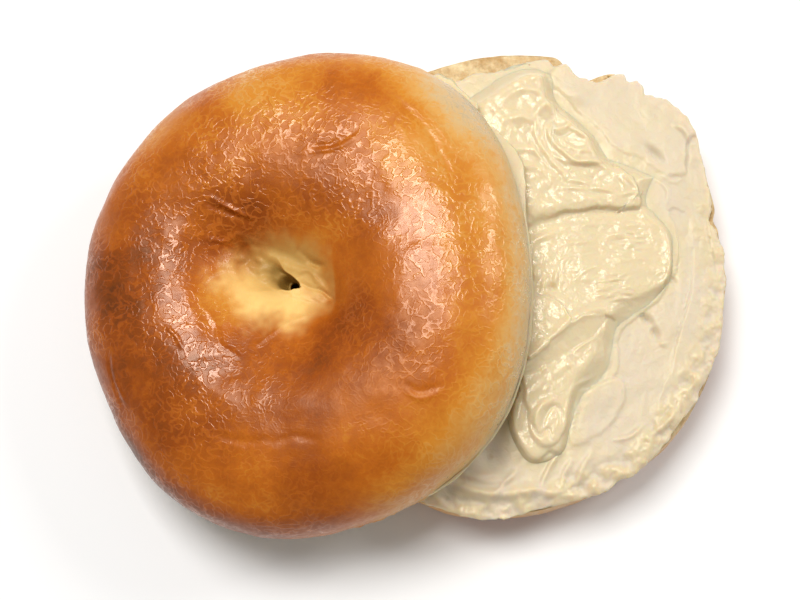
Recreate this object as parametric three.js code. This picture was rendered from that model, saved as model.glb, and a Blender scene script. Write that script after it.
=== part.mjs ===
// A plain bagel, sliced in two and spread with cream cheese, with the lid slid to the left.
//
// Millimetres, +Z up. The bottom half lies flat, the lid leans on the mound of cream cheese and on the
// bottom half's left rim. The origin is on the table, under the middle of the whole.
import * as THREE from "three";

// Driving dimensions of the bagel, in mm.
const BAGEL_RADIUS = 58.3;
const LID_HEIGHT = 26;
const BASE_HEIGHT = 15;
const TOUCH_GAP = 0.3; // clearance kept between solids that touch

// The hand-rolled outline: waves round the rim as [waves, share of the radius, direction of a crest in degrees].
const OUTLINE_WAVES = [
  [1, 0.012, 42],
  [2, 0.042, 79],
  [3, 0.01, 48],
  [4, 0.013, 56],
  [5, 0.006, -32],
];

// Where the two halves lie, and how the lid leans.
const BASE_CENTRE = new THREE.Vector2(24.65, 2.95);
const LID_CENTRE = new THREE.Vector2(-23.15, -3.05);
const LID_LEAN = THREE.MathUtils.degToRad(11); // the left side is down
const LID_CENTRE_HEIGHT = 17.1; // of the cut face, above the table
const CUT_SLOPE = 0.03; // the bottom half was cut thinner on the left

// The lid's section, from the cut edge over the crest to the pinched hole.
const LID_EQUATOR = 8; // height of the widest line above the cut
const LID_TUCK = 0.026; // how far the cut edge draws in, as a share of the way out
const LID_FLARE = { direction: 222, halfWidth: 55, out: 0.03 }; // where the cut edge spreads out instead
const CREST_AT = 0.5; // the crest's place on the way from slit to rim
const CREST_WAVES = [
  [1, 0.02, 20],
  [2, 0.02, 100],
  [3, 0.015, 215],
];
const SHOULDER_POWER = 2.3; // 2 is an ellipse, more is squarer

// The pinched hole: a slit whose lip is an ellipse, and the small opening that is left under it.
const SLIT_CENTRE = new THREE.Vector2(-3.2, 2.6);
const SLIT_HALF_LENGTH = 12.5;
const SLIT_HALF_WIDTH = 4.2;
const SLIT_TURN = THREE.MathUtils.degToRad(-30);
const SLIT_LIP_HEIGHT = 16;
const SLIT_FLOOR_HEIGHT = 10.5;
const PINCH_CENTRE = new THREE.Vector2(-4.6, 3.2);
const PINCH_RADIUS = 1.9;
const DENT_POWER = 2.3; // how late the slope drops into the slit
const DENT_WAVES = [[1, 0.4, 65]]; // steep on the upper right, gradual on the lower left

// The bottom half's section.
const BASE_EQUATOR = 9.5;
const BASE_FOOT = 0.78; // the flat foot's edge, as a share of the radius
const BASE_DIMPLE = 0.26; // the pinch in the underside, as a share of the radius
const BASE_DIMPLE_DEPTH = 3.4;
const CUT_EDGE_ROUND = 0.7;

// The cream cheese on the bottom half: a thick mound, a step down, and a thin smear out to the rim.
const MOUND_THICKNESS = 10.6;
const MOUND_EDGE_THICKNESS = 5.8;
const SMEAR_THICKNESS = 3.4;
const SPREAD_EDGE_THICKNESS = 2;
const MOUND_RADIUS = 43;
const MOUND_WAVES = [
  [2, 0.1, 90],
  [4, 0.05, 0],
];
const MOUND_NOTCH = { direction: -28, halfWidth: 30, depth: 11 }; // where the knife ended its last pass
const MOUND_STEP = 3.4; // the width over which the mound drops to the smear
const SPREAD_REACH = 0.985; // the spread's edge, as a share of the bagel's outline
const SPREAD_WAVES = [
  [3, 0.008, 40],
  [5, 0.008, 50],
  [7, 0.009, 46],
  [11, 0.006, 5],
];
const BARE_RIM = { direction: 106, halfWidth: 38, depth: 6 }; // where the bread shows

// Knife strokes in the spread, from the bottom half's centre: start, end, half width, depth and raised lip.
const STROKES = [
  { from: [5, 4.5], to: [38.5, 4.5], half: 10.5, depth: 2.2, lip: 1.6 },
  { from: [3.5, -32], to: [23.5, -17], half: 7, depth: 1.9, lip: 1.6 },
  { from: [10, 43], to: [27, 23], half: 7.5, depth: 1.3, lip: 1.0 },
  { from: [7, -44], to: [24, -36], half: 6, depth: 1.0, lip: 0.9 },
];

// The cream cheese stuck to the lid's cut face.
const LID_SMEAR = { direction: -2, halfSpan: 82, middle: 0.64, halfReach: 0.35 }; // degrees; shares of the way out
const LID_SMEAR_THICKNESS = 2.2;
const LID_SMEAR_EDGE = 0.6;
const LID_SMEAR_WAVES = [
  [7, 0.022, 30],
  [11, 0.016, 0],
];

const LID_SECTORS = 72;
const BASE_SECTORS = 72;
const SPREAD_SECTORS = 96;
const LID_SMEAR_SECTORS = 64;
const FULL_TURN = 2 * Math.PI;

const mix = THREE.MathUtils.lerp;
const smooth = (value, low, high) => THREE.MathUtils.smoothstep(value, low, high);
const radians = THREE.MathUtils.degToRad;

// 1 plus the waves' sum at an angle.
function waves(list, angle) {
  return list.reduce((sum, [count, share, crest]) => sum + share * Math.cos(count * (angle - radians(crest))), 1);
}

// 1 in a feature's direction, falling to 0 at its half width.
function near({ direction, halfWidth }, angle) {
  const off = Math.acos(THREE.MathUtils.clamp(Math.cos(angle - radians(direction)), -1, 1));
  return 1 - smooth(off, 0, radians(halfWidth));
}

const rimRadius = (angle) => BAGEL_RADIUS * waves(OUTLINE_WAVES, angle);
const polar = (radius, angle) => new THREE.Vector2(radius * Math.cos(angle), radius * Math.sin(angle));

// A point of an ellipse that lies turned on the cut face.
function ellipsePoint(centre, halfLength, halfWidth, turn, angle) {
  const along = angle - turn;
  return new THREE.Vector2(halfLength * Math.cos(along), halfWidth * Math.sin(along))
    .rotateAround(new THREE.Vector2(), turn)
    .add(centre);
}

// A closed surface from rings of one length. Each joins the next, and the last joins the first, unless the
// first and last are single points, which close their ends.
function solidFromRings(rings) {
  const sectors = rings[1].length;
  const points = rings.flat();
  const starts = rings.map((_, i) => rings.slice(0, i).flat().length);
  const at = (i, k) => starts[i] + (rings[i].length > 1 ? k % sectors : 0);
  const index = [];
  const pairs = rings[0].length === 1 ? rings.length - 1 : rings.length;
  for (let i = 0; i < pairs; i++) {
    const j = (i + 1) % rings.length;
    for (let k = 0; k < sectors; k++) {
      const [a, b, c, d] = [at(i, k), at(i, k + 1), at(j, k + 1), at(j, k)];
      if (a === b) index.push(a, c, d);
      else if (c === d) index.push(a, b, c);
      else if (points[a].distanceTo(points[c]) < points[b].distanceTo(points[d])) index.push(a, b, c, a, c, d);
      else index.push(a, b, d, b, c, d);
    }
  }
  const geometry = new THREE.BufferGeometry().setFromPoints(points);
  geometry.setIndex(index);
  geometry.computeVertexNormals();
  return geometry;
}

// One ring of points from a function of the angle.
function ring(sectors, pointAt) {
  return Array.from({ length: sectors }, (_, k) => pointAt((k / sectors) * FULL_TURN));
}

// Steps from one number to another, without the first.
const steps = (from, to, count) => Array.from({ length: count }, (_, i) => mix(from, to, (i + 1) / count));

// --- the lid ---

const crestHeight = (angle) => LID_HEIGHT * waves(CREST_WAVES, angle);

const slitLip = (angle) => ellipsePoint(SLIT_CENTRE, SLIT_HALF_LENGTH, SLIT_HALF_WIDTH, SLIT_TURN, angle);
const pinchLip = (angle) => ellipsePoint(PINCH_CENTRE, PINCH_RADIUS, PINCH_RADIUS, 0, angle);

// A point of the lid at a share of the way from the slit's lip to the rim, and at a height.
function lidPoint(angle, share, height) {
  const plan = slitLip(angle).lerp(polar(rimRadius(angle), angle), share);
  return new THREE.Vector3(plan.x, plan.y, height);
}

// How far out the wall stands between the cut edge, at 0, and the widest line, at 1.
function lidWall(angle, step) {
  const tuck = LID_TUCK - LID_FLARE.out * near(LID_FLARE, angle);
  return 1 - tuck * (1 - step) ** 2;
}

// The way over the shoulder on a squared quarter ellipse: 1 out on the widest line, 1 up on the crest.
function shoulder(step) {
  const turn = (step * Math.PI) / 2;
  return {
    out: Math.cos(turn) ** (2 / SHOULDER_POWER),
    up: Math.sin(turn) ** (2 / SHOULDER_POWER),
  };
}

// Plan and height down the slit, from its lip at 0 to the small opening at 1.
function slitPoint(angle, height, narrowed) {
  const plan = slitLip(angle).lerp(pinchLip(angle), narrowed);
  return new THREE.Vector3(plan.x, plan.y, height);
}

function lidRings() {
  const lidRing = (pointAt) => ring(LID_SECTORS, pointAt);
  const cutFace = [0, 0.35, 0.7, 1].map((share) =>
    lidRing((angle) => slitPoint(angle, 0, 1).lerp(lidPoint(angle, lidWall(angle, 0), 0), share)),
  );
  const wall = steps(0, 1, 3).map((step) =>
    lidRing((angle) => lidPoint(angle, lidWall(angle, step), LID_EQUATOR * step)),
  );
  const overShoulder = steps(0, 1, 8).map((step) => {
    const { out, up } = shoulder(step);
    return lidRing((angle) => lidPoint(angle, mix(CREST_AT, 1, out), mix(LID_EQUATOR, crestHeight(angle), up)));
  });
  const dent = steps(0, 1, 7).map((step) =>
    lidRing((angle) => {
      const fall = step ** (DENT_POWER * waves(DENT_WAVES, angle));
      return lidPoint(angle, CREST_AT * (1 - step), mix(crestHeight(angle), SLIT_LIP_HEIGHT, fall));
    }),
  );
  const slit = [
    [mix(SLIT_LIP_HEIGHT, SLIT_FLOOR_HEIGHT, 0.6), 0.25],
    [SLIT_FLOOR_HEIGHT, 0.6],
    [SLIT_FLOOR_HEIGHT - 2.5, 0.95],
  ].map(([height, narrowed]) => lidRing((angle) => slitPoint(angle, height, narrowed)));
  return [...cutFace, ...wall, ...overShoulder, ...dent, ...slit];
}

// --- the bottom half ---

// Height of the bottom half's cut face at a distance right of its centre.
const cutHeight = (x) => BASE_HEIGHT + CUT_SLOPE * x;

function baseRings() {
  const baseRing = (share, heightAt) =>
    ring(BASE_SECTORS, (angle) => {
      const { x, y } = polar(rimRadius(angle) * share, angle);
      return new THREE.Vector3(x, y, heightAt(x));
    });
  const underside = [
    [new THREE.Vector3(0, 0, BASE_DIMPLE_DEPTH)],
    baseRing(BASE_DIMPLE * 0.55, () => BASE_DIMPLE_DEPTH * 0.6),
    baseRing(BASE_DIMPLE, () => 0),
    baseRing(BASE_FOOT, () => 0),
  ];
  const wall = steps(0, 1, 5).map((step) => {
    const turn = (step * Math.PI) / 2;
    return baseRing(mix(BASE_FOOT, 1, Math.sin(turn)), () => BASE_EQUATOR * (1 - Math.cos(turn)));
  });
  const cutFace = [
    baseRing(0.994, (x) => cutHeight(x) - CUT_EDGE_ROUND),
    baseRing(0.982, cutHeight),
    baseRing(0.66, cutHeight),
    baseRing(0.33, cutHeight),
    [new THREE.Vector3(0, 0, cutHeight(0))],
  ];
  return [...underside, ...wall, ...cutFace];
}

// --- the cream cheese on the bottom half ---

// How far the spread reaches from the bottom half's centre.
function spreadReach(angle) {
  return rimRadius(angle) * SPREAD_REACH * waves(SPREAD_WAVES, angle) - BARE_RIM.depth * near(BARE_RIM, angle);
}

const moundReach = (angle) =>
  MOUND_RADIUS * waves(MOUND_WAVES, angle) - MOUND_NOTCH.depth * near(MOUND_NOTCH, angle);

// A knife stroke's groove and the lips that it pushes up, at a point from the bottom half's centre.
function strokeHeight({ from, to, half, depth, lip }, x, y) {
  const start = new THREE.Vector2(...from);
  const run = new THREE.Vector2(...to).sub(start);
  const offset = new THREE.Vector2(x, y).sub(start);
  const along = offset.dot(run) / run.lengthSq();
  const across = (run.x * offset.y - run.y * offset.x) / run.length() / half;
  const inside = smooth(along, -0.15, 0.1) * (1 - smooth(along, 0.95, 1.08));
  const groove = -depth * Math.max(0, 1 - across ** 2) * inside;
  const sideLip = lip * Math.exp(-(((across - 1.15) / 0.34) ** 2)) * inside;
  const endLip = lip * Math.exp(-(((along - 1.05) / 0.09) ** 2)) * (1 - smooth(Math.abs(across), 0.6, 1.1));
  return groove + sideLip + endLip;
}

// Height of the lid's cut face above the table, at a distance right of the bottom half's centre.
const lidFloor = (x) => LID_CENTRE_HEIGHT + (x + BASE_CENTRE.x - LID_CENTRE.x) * Math.tan(LID_LEAN);

// 1 under the lid, 0 clear of it, at a point from the bottom half's centre.
function underLid(x, y) {
  const offset = new THREE.Vector2(x, y).add(BASE_CENTRE).sub(LID_CENTRE);
  offset.x /= Math.cos(LID_LEAN);
  return 1 - smooth(offset.length() - rimRadius(offset.angle()), 1.5, 6);
}

// The spread's top at a distance from the bottom half's centre.
function spreadTop(angle, radius) {
  const { x, y } = polar(radius, angle);
  const share = radius / spreadReach(angle);
  const mound = mix(MOUND_THICKNESS, MOUND_EDGE_THICKNESS, smooth(radius / moundReach(angle), 0.1, 1));
  const smear = mix(SMEAR_THICKNESS, SPREAD_EDGE_THICKNESS, smooth(share, 0.8, 1));
  const outside = smooth(radius, moundReach(angle) - MOUND_STEP / 2, moundReach(angle) + MOUND_STEP / 2);
  const strokes = STROKES.reduce((sum, stroke) => sum + strokeHeight(stroke, x, y), 0);
  const open = cutHeight(x) + Math.max(1.2, mix(mound, smear, outside) + strokes * (1 - smooth(share, 0.85, 1)));
  const limit = lidFloor(x) - LID_SMEAR_THICKNESS * 1.1 - 2 * TOUCH_GAP;
  const pressed = Math.min(open, Math.max(limit, cutHeight(x) + TOUCH_GAP + 0.6));
  return new THREE.Vector3(x, y, mix(open, pressed, underLid(x, y)));
}

function spreadFloor(angle, share) {
  const { x, y } = polar(spreadReach(angle) * share, angle);
  return new THREE.Vector3(x, y, cutHeight(x) + TOUCH_GAP);
}

// The rings of the top follow the mound's edge, so that its step stays crisp.
function spreadRings() {
  const spreadRing = (pointAt) => ring(SPREAD_SECTORS, pointAt);
  const floor = [0.4, 0.75, 0.97].map((share) => spreadRing((angle) => spreadFloor(angle, share)));
  const edge = spreadRing((angle) => spreadFloor(angle, 1).lerp(spreadTop(angle, spreadReach(angle)), 0.5));
  const smear = [0.96, 0.72, 0.48, 0.24].map((share) =>
    spreadRing((angle) => spreadTop(angle, mix(moundReach(angle) + MOUND_STEP / 2, spreadReach(angle), share))),
  );
  const step = [0.5, 0, -0.5].map((share) =>
    spreadRing((angle) => spreadTop(angle, moundReach(angle) + MOUND_STEP * share)),
  );
  const mound = steps(1, 0, 14)
    .slice(0, -1)
    .map((share) => spreadRing((angle) => spreadTop(angle, (moundReach(angle) - MOUND_STEP / 2) * share)));
  return [[spreadFloor(0, 0)], ...floor, edge, ...smear, ...step, ...mound, [spreadTop(0, 0)]];
}

// --- the cream cheese on the lid's cut face ---

// A point of the smear, at a share of the way from its middle to its edge.
function lidSmearPoint(turn, share, depth) {
  const round = (value) => Math.sign(value) * Math.sqrt(Math.abs(value)); // corners squared off
  const edge = waves(LID_SMEAR_WAVES, turn);
  const angle = radians(LID_SMEAR.direction + LID_SMEAR.halfSpan * share * round(Math.sin(turn)));
  const out = LID_SMEAR.middle + LID_SMEAR.halfReach * edge * share * round(Math.cos(turn));
  return lidPoint(angle, out, -TOUCH_GAP - depth);
}

function lidSmearRings() {
  const smearRing = (share, depth) => ring(LID_SMEAR_SECTORS, (turn) => lidSmearPoint(turn, share, depth));
  return [
    [lidSmearPoint(0, 0, LID_SMEAR_THICKNESS)],
    smearRing(0.5, LID_SMEAR_THICKNESS),
    smearRing(0.8, LID_SMEAR_THICKNESS * 0.9),
    smearRing(0.95, LID_SMEAR_THICKNESS * 0.6),
    smearRing(1, LID_SMEAR_EDGE),
    smearRing(0.985, 0),
    smearRing(0.6, 0),
    [lidSmearPoint(0, 0, 0)],
  ];
}

// --- materials and assembly ---

const crust = new THREE.MeshStandardMaterial({ color: "#b9711f", roughness: 0.4, metalness: 0 });
const paleCrust = new THREE.MeshStandardMaterial({ color: "#c9a063", roughness: 0.6, metalness: 0 });
const creamCheese = new THREE.MeshStandardMaterial({ color: "#efe0b8", roughness: 0.35, metalness: 0 });

function named(name, geometry, material) {
  const mesh = new THREE.Mesh(geometry, material);
  mesh.name = name;
  return mesh;
}

// The bottom half and its spread stand on the table round the same centre.
const onTable = new THREE.Group();
onTable.position.set(BASE_CENTRE.x, BASE_CENTRE.y, 0);
onTable.add(named("bottom_half", solidFromRings(baseRings()), paleCrust));
onTable.add(named("cream_cheese", solidFromRings(spreadRings()), creamCheese));

// The lid and what sticks to it lean together.
const leaning = new THREE.Group();
leaning.position.set(LID_CENTRE.x, LID_CENTRE.y, LID_CENTRE_HEIGHT);
leaning.rotation.y = -LID_LEAN;
leaning.add(named("top_half", solidFromRings(lidRings()), crust));
leaning.add(named("cream_cheese_on_lid", solidFromRings(lidSmearRings()), creamCheese));

const bagel = new THREE.Group();
bagel.add(onTable, leaning);

export default bagel;
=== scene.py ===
"""A plain bagel, sliced in two and spread with cream cheese, dressed round its packed frame.

Shapes are worked out in millimetres and written to the meshes in metres.
"""

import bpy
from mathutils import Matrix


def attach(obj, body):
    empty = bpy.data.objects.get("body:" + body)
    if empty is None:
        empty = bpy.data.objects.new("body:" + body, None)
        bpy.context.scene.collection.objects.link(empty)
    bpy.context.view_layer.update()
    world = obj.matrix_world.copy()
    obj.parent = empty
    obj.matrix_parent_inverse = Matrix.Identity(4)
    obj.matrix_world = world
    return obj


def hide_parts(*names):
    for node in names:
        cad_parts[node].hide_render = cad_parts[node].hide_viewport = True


bl_info = {
    "name": "Bagel with cream cheese",
    "version": (1, 0, 0),
    "blender": (4, 5, 0),
    "location": "3D View > Sidebar > Bagel",
    "description": "Models a sliced bagel and its cream cheese round the packed frame",
    "category": "Object",
}

import bpy
import numpy as np
from mathutils import Vector

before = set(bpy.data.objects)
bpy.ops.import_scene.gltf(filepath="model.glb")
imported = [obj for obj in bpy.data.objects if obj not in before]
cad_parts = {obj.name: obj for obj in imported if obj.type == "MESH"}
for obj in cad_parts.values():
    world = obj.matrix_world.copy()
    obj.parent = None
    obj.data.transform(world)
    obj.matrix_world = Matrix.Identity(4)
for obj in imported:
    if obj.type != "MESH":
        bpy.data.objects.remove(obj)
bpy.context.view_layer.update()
MM = 0.001
DETAIL = 1  # share of the full number of rows and columns

# --- the sizes that the solids were built to, in mm and degrees ---

BAGEL_RADIUS = 58.3
OUTLINE_WAVES = [(1, 0.012, 42), (2, 0.042, 79), (3, 0.01, 48), (4, 0.013, 56), (5, 0.006, -32)]
BASE_CENTRE = np.array([24.65, 2.95])
LID_CENTRE = np.array([-23.15, -3.05])
LID_LEAN = np.radians(11)
LID_CENTRE_HEIGHT = 17.1
CUT_SLOPE = 0.03

LID_HEIGHT = 26
LID_EQUATOR = 8
LID_TUCK = 0.026
LID_FLARE = (222, 55, 0.03)
CREST_AT = 0.5
CREST_WAVES = [(1, 0.02, 20), (2, 0.02, 100), (3, 0.015, 215)]
SHOULDER_POWER = 2.3
SLIT_CENTRE = np.array([-3.2, 2.6])
SLIT_HALF_LENGTH = 12.5
SLIT_HALF_WIDTH = 4.2
SLIT_TURN = np.radians(-30)
SLIT_LIP_HEIGHT = 16
DENT_POWER = 2.3
DENT_WAVES = [(1, 0.4, 65)]

BASE_HEIGHT = 15
BASE_EQUATOR = 9.5
BASE_FOOT = 0.78
BASE_DIMPLE = 0.26
BASE_DIMPLE_DEPTH = 3.4

SMEAR_THICKNESS = 3.4
SPREAD_EDGE_THICKNESS = 2
SPREAD_REACH = 0.985
SPREAD_WAVES = [(3, 0.008, 40), (5, 0.008, 50), (7, 0.009, 46), (11, 0.006, 5)]
# Where the rim is left bare: direction and half width in degrees, and depth in mm.
BARE_RIM = [(106, 38, 6), (63.5, 5, 3.2), (76, 3, 2.5), (50, 3, 1.2)]
# Where the rim tore away: direction and half width in degrees, and depth in mm.
RIM_NOTCHES = [(69, 8, 5.5), (57.5, 2, 1.4), (52.5, 2, 1.8), (15, 3, 0.8), (-62, 3, 0.8)]

LID_SMEAR_DIRECTION = -2
LID_SMEAR_HALF_SPAN = 82
LID_SMEAR_MIDDLE = 0.64
LID_SMEAR_HALF_REACH = 0.35
LID_SMEAR_THICKNESS = 2.2
LID_SMEAR_WAVES = [(7, 0.022, 30), (11, 0.016, 0)]
# Where the smear reaches past the lid's edge: direction and half width in degrees, and share of the radius.
LID_SCRAPS = [(60, 9, 0.12), (51, 6, 0.07), (34, 16, 0.08)]

# --- small tools for shapes ---


def mix(low, high, share):
    """The value at a share of the way from low to high."""
    return low + (high - low) * share


def smooth(value, low, high):
    """A soft step from 0 at the low end to 1 at the high end."""
    step = np.clip((value - low) / (high - low), 0, 1)
    return step * step * (3 - 2 * step)


def hump(value, half_width):
    """1 at 0, falling to nothing past the half width."""
    return np.exp(-((value / half_width) ** 2))


def around(count):
    count = round(count * DETAIL)
    return np.arange(count) / count * 2 * np.pi


def steps(count, skip=1):
    return np.linspace(0, 1, round(count * DETAIL) + 1)[skip:, None]


def bands(parts):
    """Bands of rows joined in order, and a column with the number of each row's band."""
    number = np.repeat(np.arange(len(parts)), [len(part) for part in parts])
    return np.concatenate(parts), number[:, None]


def far(plan, place=(0, 0)):
    """How far each point of a plan lies from a place."""
    return np.linalg.norm(plan - np.array(place), axis=-1)


def turned(plan, place, direction):
    """How far each point lies along a direction from a place, and across it."""
    offset = plan - np.array(place)
    cos, sin = np.cos(direction), np.sin(direction)
    return offset[..., 0] * cos + offset[..., 1] * sin, offset[..., 1] * cos - offset[..., 0] * sin


def waves(terms, angle):
    """1 plus waves round a centre, each as (waves, share, direction of a crest in degrees)."""
    return 1 + sum(share * np.cos(count * (angle - np.radians(crest))) for count, share, crest in terms)


def near(direction, half_width, angle):
    """1 in a direction, falling to 0 at the half width, both in degrees."""
    off = np.abs(np.angle(np.exp(1j * (angle - np.radians(direction)))))
    return 1 - smooth(off, 0, np.radians(half_width))


# Large odd numbers that scramble a cell's place into a random-looking number of 31 bits.
CELL_FACTORS = np.array([73856093, 19349663, 83492791])
FIRST_FACTOR = 1274126177
SECOND_FACTOR = 668265263
LARGEST = 0x7FFFFFFF


def noise(points, size, seed):
    """Smooth noise from -1 to 1 with lumps about `size` mm across, at points in mm."""
    place = np.asarray(points) / size + seed * 31.7
    cell = np.floor(place).astype(np.int64)
    part = place - cell
    part = part * part * (3 - 2 * part)
    axes = place.shape[-1]
    total = np.zeros(place.shape[:-1])
    for corner in np.ndindex(*(2,) * axes):
        corner = np.array(corner)
        key = ((cell + corner) * CELL_FACTORS[:axes]).sum(-1)
        key = (key ^ (key >> 13)) * FIRST_FACTOR & LARGEST
        key = (key ^ (key >> 15)) * SECOND_FACTOR & LARGEST
        weight = np.prod(np.where(corner, part, 1 - part), axis=-1)
        total += weight * (key / (LARGEST // 2) - 1)
    return total


def layered_noise(points, size, seed, layers=3):
    """Noise with ever finer and fainter layers."""
    return sum(noise(points, size / 2**i, seed + i) / 2**i for i in range(layers))


def rim_radius(angle):
    """The radius of the bagel's outline in a direction."""
    return BAGEL_RADIUS * waves(OUTLINE_WAVES, angle)


def notch_depth(angle):
    """How far the torn rim is set back in a direction."""
    return sum(depth * near(direction, half_width, angle) for direction, half_width, depth in RIM_NOTCHES)


def polar(radius, angle):
    """Points of a plan at a radius and a direction from its centre."""
    return np.stack([radius * np.cos(angle), radius * np.sin(angle)], -1)


def with_height(plan, height):
    """The points of a plan at a height."""
    return np.concatenate([plan, np.broadcast_to(height, plan.shape[:-1])[..., None]], -1)


def row_normals(rows, closed):
    """Outward normals of a grid of rows that run round the piece."""
    along = np.roll(rows, -1, 1) - np.roll(rows, 1, 1)
    across = np.roll(rows, -1, 0) - np.roll(rows, 1, 0) if closed else np.gradient(rows, axis=0)
    normals = np.cross(along, across)
    return normals / (np.linalg.norm(normals, axis=-1, keepdims=True) + 1e-9)


def ends(rows):
    """The middles of the first and last rows, where a piece's poles close it."""
    return np.stack([rows[0].mean(0), rows[-1].mean(0)])


def grid_object(name, rows, values, materials=(), poles=None):
    """A closed piece from rows of points in mm that run round it.

    The rows join in order. Two poles close the ends, or else the last row joins the first. Each value is
    an array with one number for each point of the rows, kept as an attribute of the mesh.
    """
    count, sectors = rows.shape[:2]
    last = count if poles is None else count - 1
    row, column = np.meshgrid(np.arange(last), np.arange(sectors), indexing="ij")
    after, beside = (row + 1) % count, (column + 1) % sectors
    corners = [(row, column), (row, beside), (after, beside), (after, column)]
    faces = np.stack([i * sectors + k for i, k in corners], -1).reshape(-1, 4).tolist()
    points = rows.reshape(-1, 3)
    if poles is not None:
        first = len(points)
        points = np.vstack([points, poles])
        for k in range(sectors):
            beside = (k + 1) % sectors
            faces.append([first, beside, k])
            faces.append([first - sectors + k, first - sectors + beside, first + 1])
    mesh = bpy.data.meshes.new(name)
    mesh.from_pydata((points * MM).tolist(), [], faces)
    for key, value in values.items():
        flat = np.broadcast_to(value, rows.shape[:2]).reshape(-1)
        if poles is not None:
            flat = np.append(flat, [flat[0], flat[-1]])
        mesh.attributes.new(key, "FLOAT", "POINT").data.foreach_set("value", flat.astype(np.float32))
    for material in materials:
        mesh.materials.append(material)
    mesh.shade_smooth()
    piece = bpy.data.objects.new(name, mesh)
    bpy.context.scene.collection.objects.link(piece)
    return piece


# --- tools for relief ---


def smooth_curve(points, closed=False, parts=4):
    """A smooth curve through a few points, as a list of places along it."""
    points = np.asarray(points, float)
    last = len(points) if closed else len(points) - 1
    curve = []
    for i in range(last):
        before, here, there, after = (points[k % len(points)] for k in (i - 1, i, i + 1, i + 2))
        if not closed and i == 0:
            before = here
        if not closed and i == last - 1:
            after = there
        for t in np.arange(parts) / parts:
            bend = (2 * before - 5 * here + 4 * there - after) * t**2
            twist = (3 * here - before - 3 * there + after) * t**3
            curve.append(here + 0.5 * ((there - before) * t + bend + twist))
    return np.array(curve if closed else [*curve, points[-1]])


def path_distance(plan, path):
    """Distance from points to a path, and the share of the way along it."""
    nearest = np.full(plan.shape[:-1], np.inf)
    along = np.zeros(plan.shape[:-1])
    for i, (start, end) in enumerate(zip(path, path[1:])):
        run = end - start
        share = np.clip(((plan - start) @ run) / (run @ run), 0, 1)
        away = np.linalg.norm(plan - start - share[..., None] * run, axis=-1)
        along = np.where(away < nearest, (i + share) / (len(path) - 1), along)
        nearest = np.minimum(nearest, away)
    return nearest, along


def depth_inside(plan, points):
    """How far each place lies inside a smooth closed curve through a few points, negative outside it."""
    loop = smooth_curve(points, closed=True)
    nearest, _ = path_distance(plan, np.vstack([loop, loop[:1]]))
    inside = np.zeros(plan.shape[:-1], bool)
    for start, end in zip(loop, np.roll(loop, -1, 0)):
        if start[1] == end[1]:
            continue
        crosses = (start[1] > plan[..., 1]) != (end[1] > plan[..., 1])
        at = start[0] + (plan[..., 1] - start[1]) / (end[1] - start[1]) * (end[0] - start[0])
        inside ^= crosses & (plan[..., 0] < at)
    return np.where(inside, nearest, -nearest)


def beads(plan, table):
    """Height of rounded beads, or of creases where it is negative, each as (points, half width, height)."""
    height = np.zeros(plan.shape[:-1])
    for seed, (points, half_width, rise) in enumerate(table):
        bent = plan + 0.3 * half_width * noise(plan, 4 * half_width, 300 + seed)[..., None]
        away, along = path_distance(bent, smooth_curve(points))
        taper = np.sin(np.pi * np.clip(along, 0.06, 0.94)) ** 0.5
        height += rise * taper * hump(away, half_width)
    return height


def blobs(plan, table):
    """Height of soft lumps and hollows, each as (x, y, half length, half width, direction, height)."""
    height = np.zeros(plan.shape[:-1])
    for x, y, half_length, half_width, direction, rise in table:
        along, across = turned(plan, (x, y), np.radians(direction))
        height += rise * hump(np.hypot(along / half_length, across / half_width), 1)
    return height


def ripples(plan, table):
    """Height of drag marks, each patch as (x, y, half length, half width, direction, spacing, height)."""
    height = np.zeros(plan.shape[:-1])
    for seed, (x, y, half_length, half_width, direction, spacing, rise) in enumerate(table):
        along, across = turned(plan, (x, y), np.radians(direction))
        reach = hump(np.hypot(along / half_length, across / half_width) ** 2, 1)
        drawn = np.stack([along * 0.3, across + 0.4 * noise(plan, 3, 330 + seed)], -1)
        marks = 1.6 * noise(drawn, spacing * 0.7, 320 + seed) + 0.5 * noise(plan, spacing, 340 + seed)
        height += rise * reach * marks
    return height


# --- materials ---


def colour(code):
    """A linear RGBA colour from an sRGB hex code."""
    parts = [int(code[i : i + 2], 16) / 255 for i in (1, 3, 5)]
    return [p / 12.92 if p <= 0.04045 else ((p + 0.055) / 1.055) ** 2.4 for p in parts] + [1.0]


def per_mm(size):
    """The scale of a texture whose pattern repeats about every `size` mm."""
    return 1 / (size * MM)


def add(tree, kind, inputs=None, stops=(), **settings):
    """Adds a node with its settings, its ramp's stops and its inputs.

    An input is a value, a socket, or a node whose first output is meant.
    """
    node = tree.nodes.new(kind)
    for key, value in settings.items():
        setattr(node, key, value)
    for i, (place, code) in enumerate(stops):
        stop = node.color_ramp.elements[i] if i < 2 else node.color_ramp.elements.new(place)
        stop.position = place
        stop.color = colour(code)
    for key, value in (inputs or {}).items():
        if isinstance(value, bpy.types.Node):
            value = value.outputs[0]
        if isinstance(value, bpy.types.NodeSocket):
            tree.links.new(value, node.inputs[key])
        else:
            node.inputs[key].default_value = value
    return node


def new_material(name):
    """An empty node material, its tree, and the place that its patterns are read from."""
    material = bpy.data.materials.new(name)
    material.use_nodes = True
    tree = material.node_tree
    tree.nodes.clear()
    return material, tree, add(tree, "ShaderNodeTexCoord").outputs["Object"]


def shade(material, inputs):
    """Gives a material its shader."""
    shader = add(material.node_tree, "ShaderNodeBsdfPrincipled", inputs)
    add(material.node_tree, "ShaderNodeOutputMaterial", {"Surface": shader})
    return material


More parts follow.
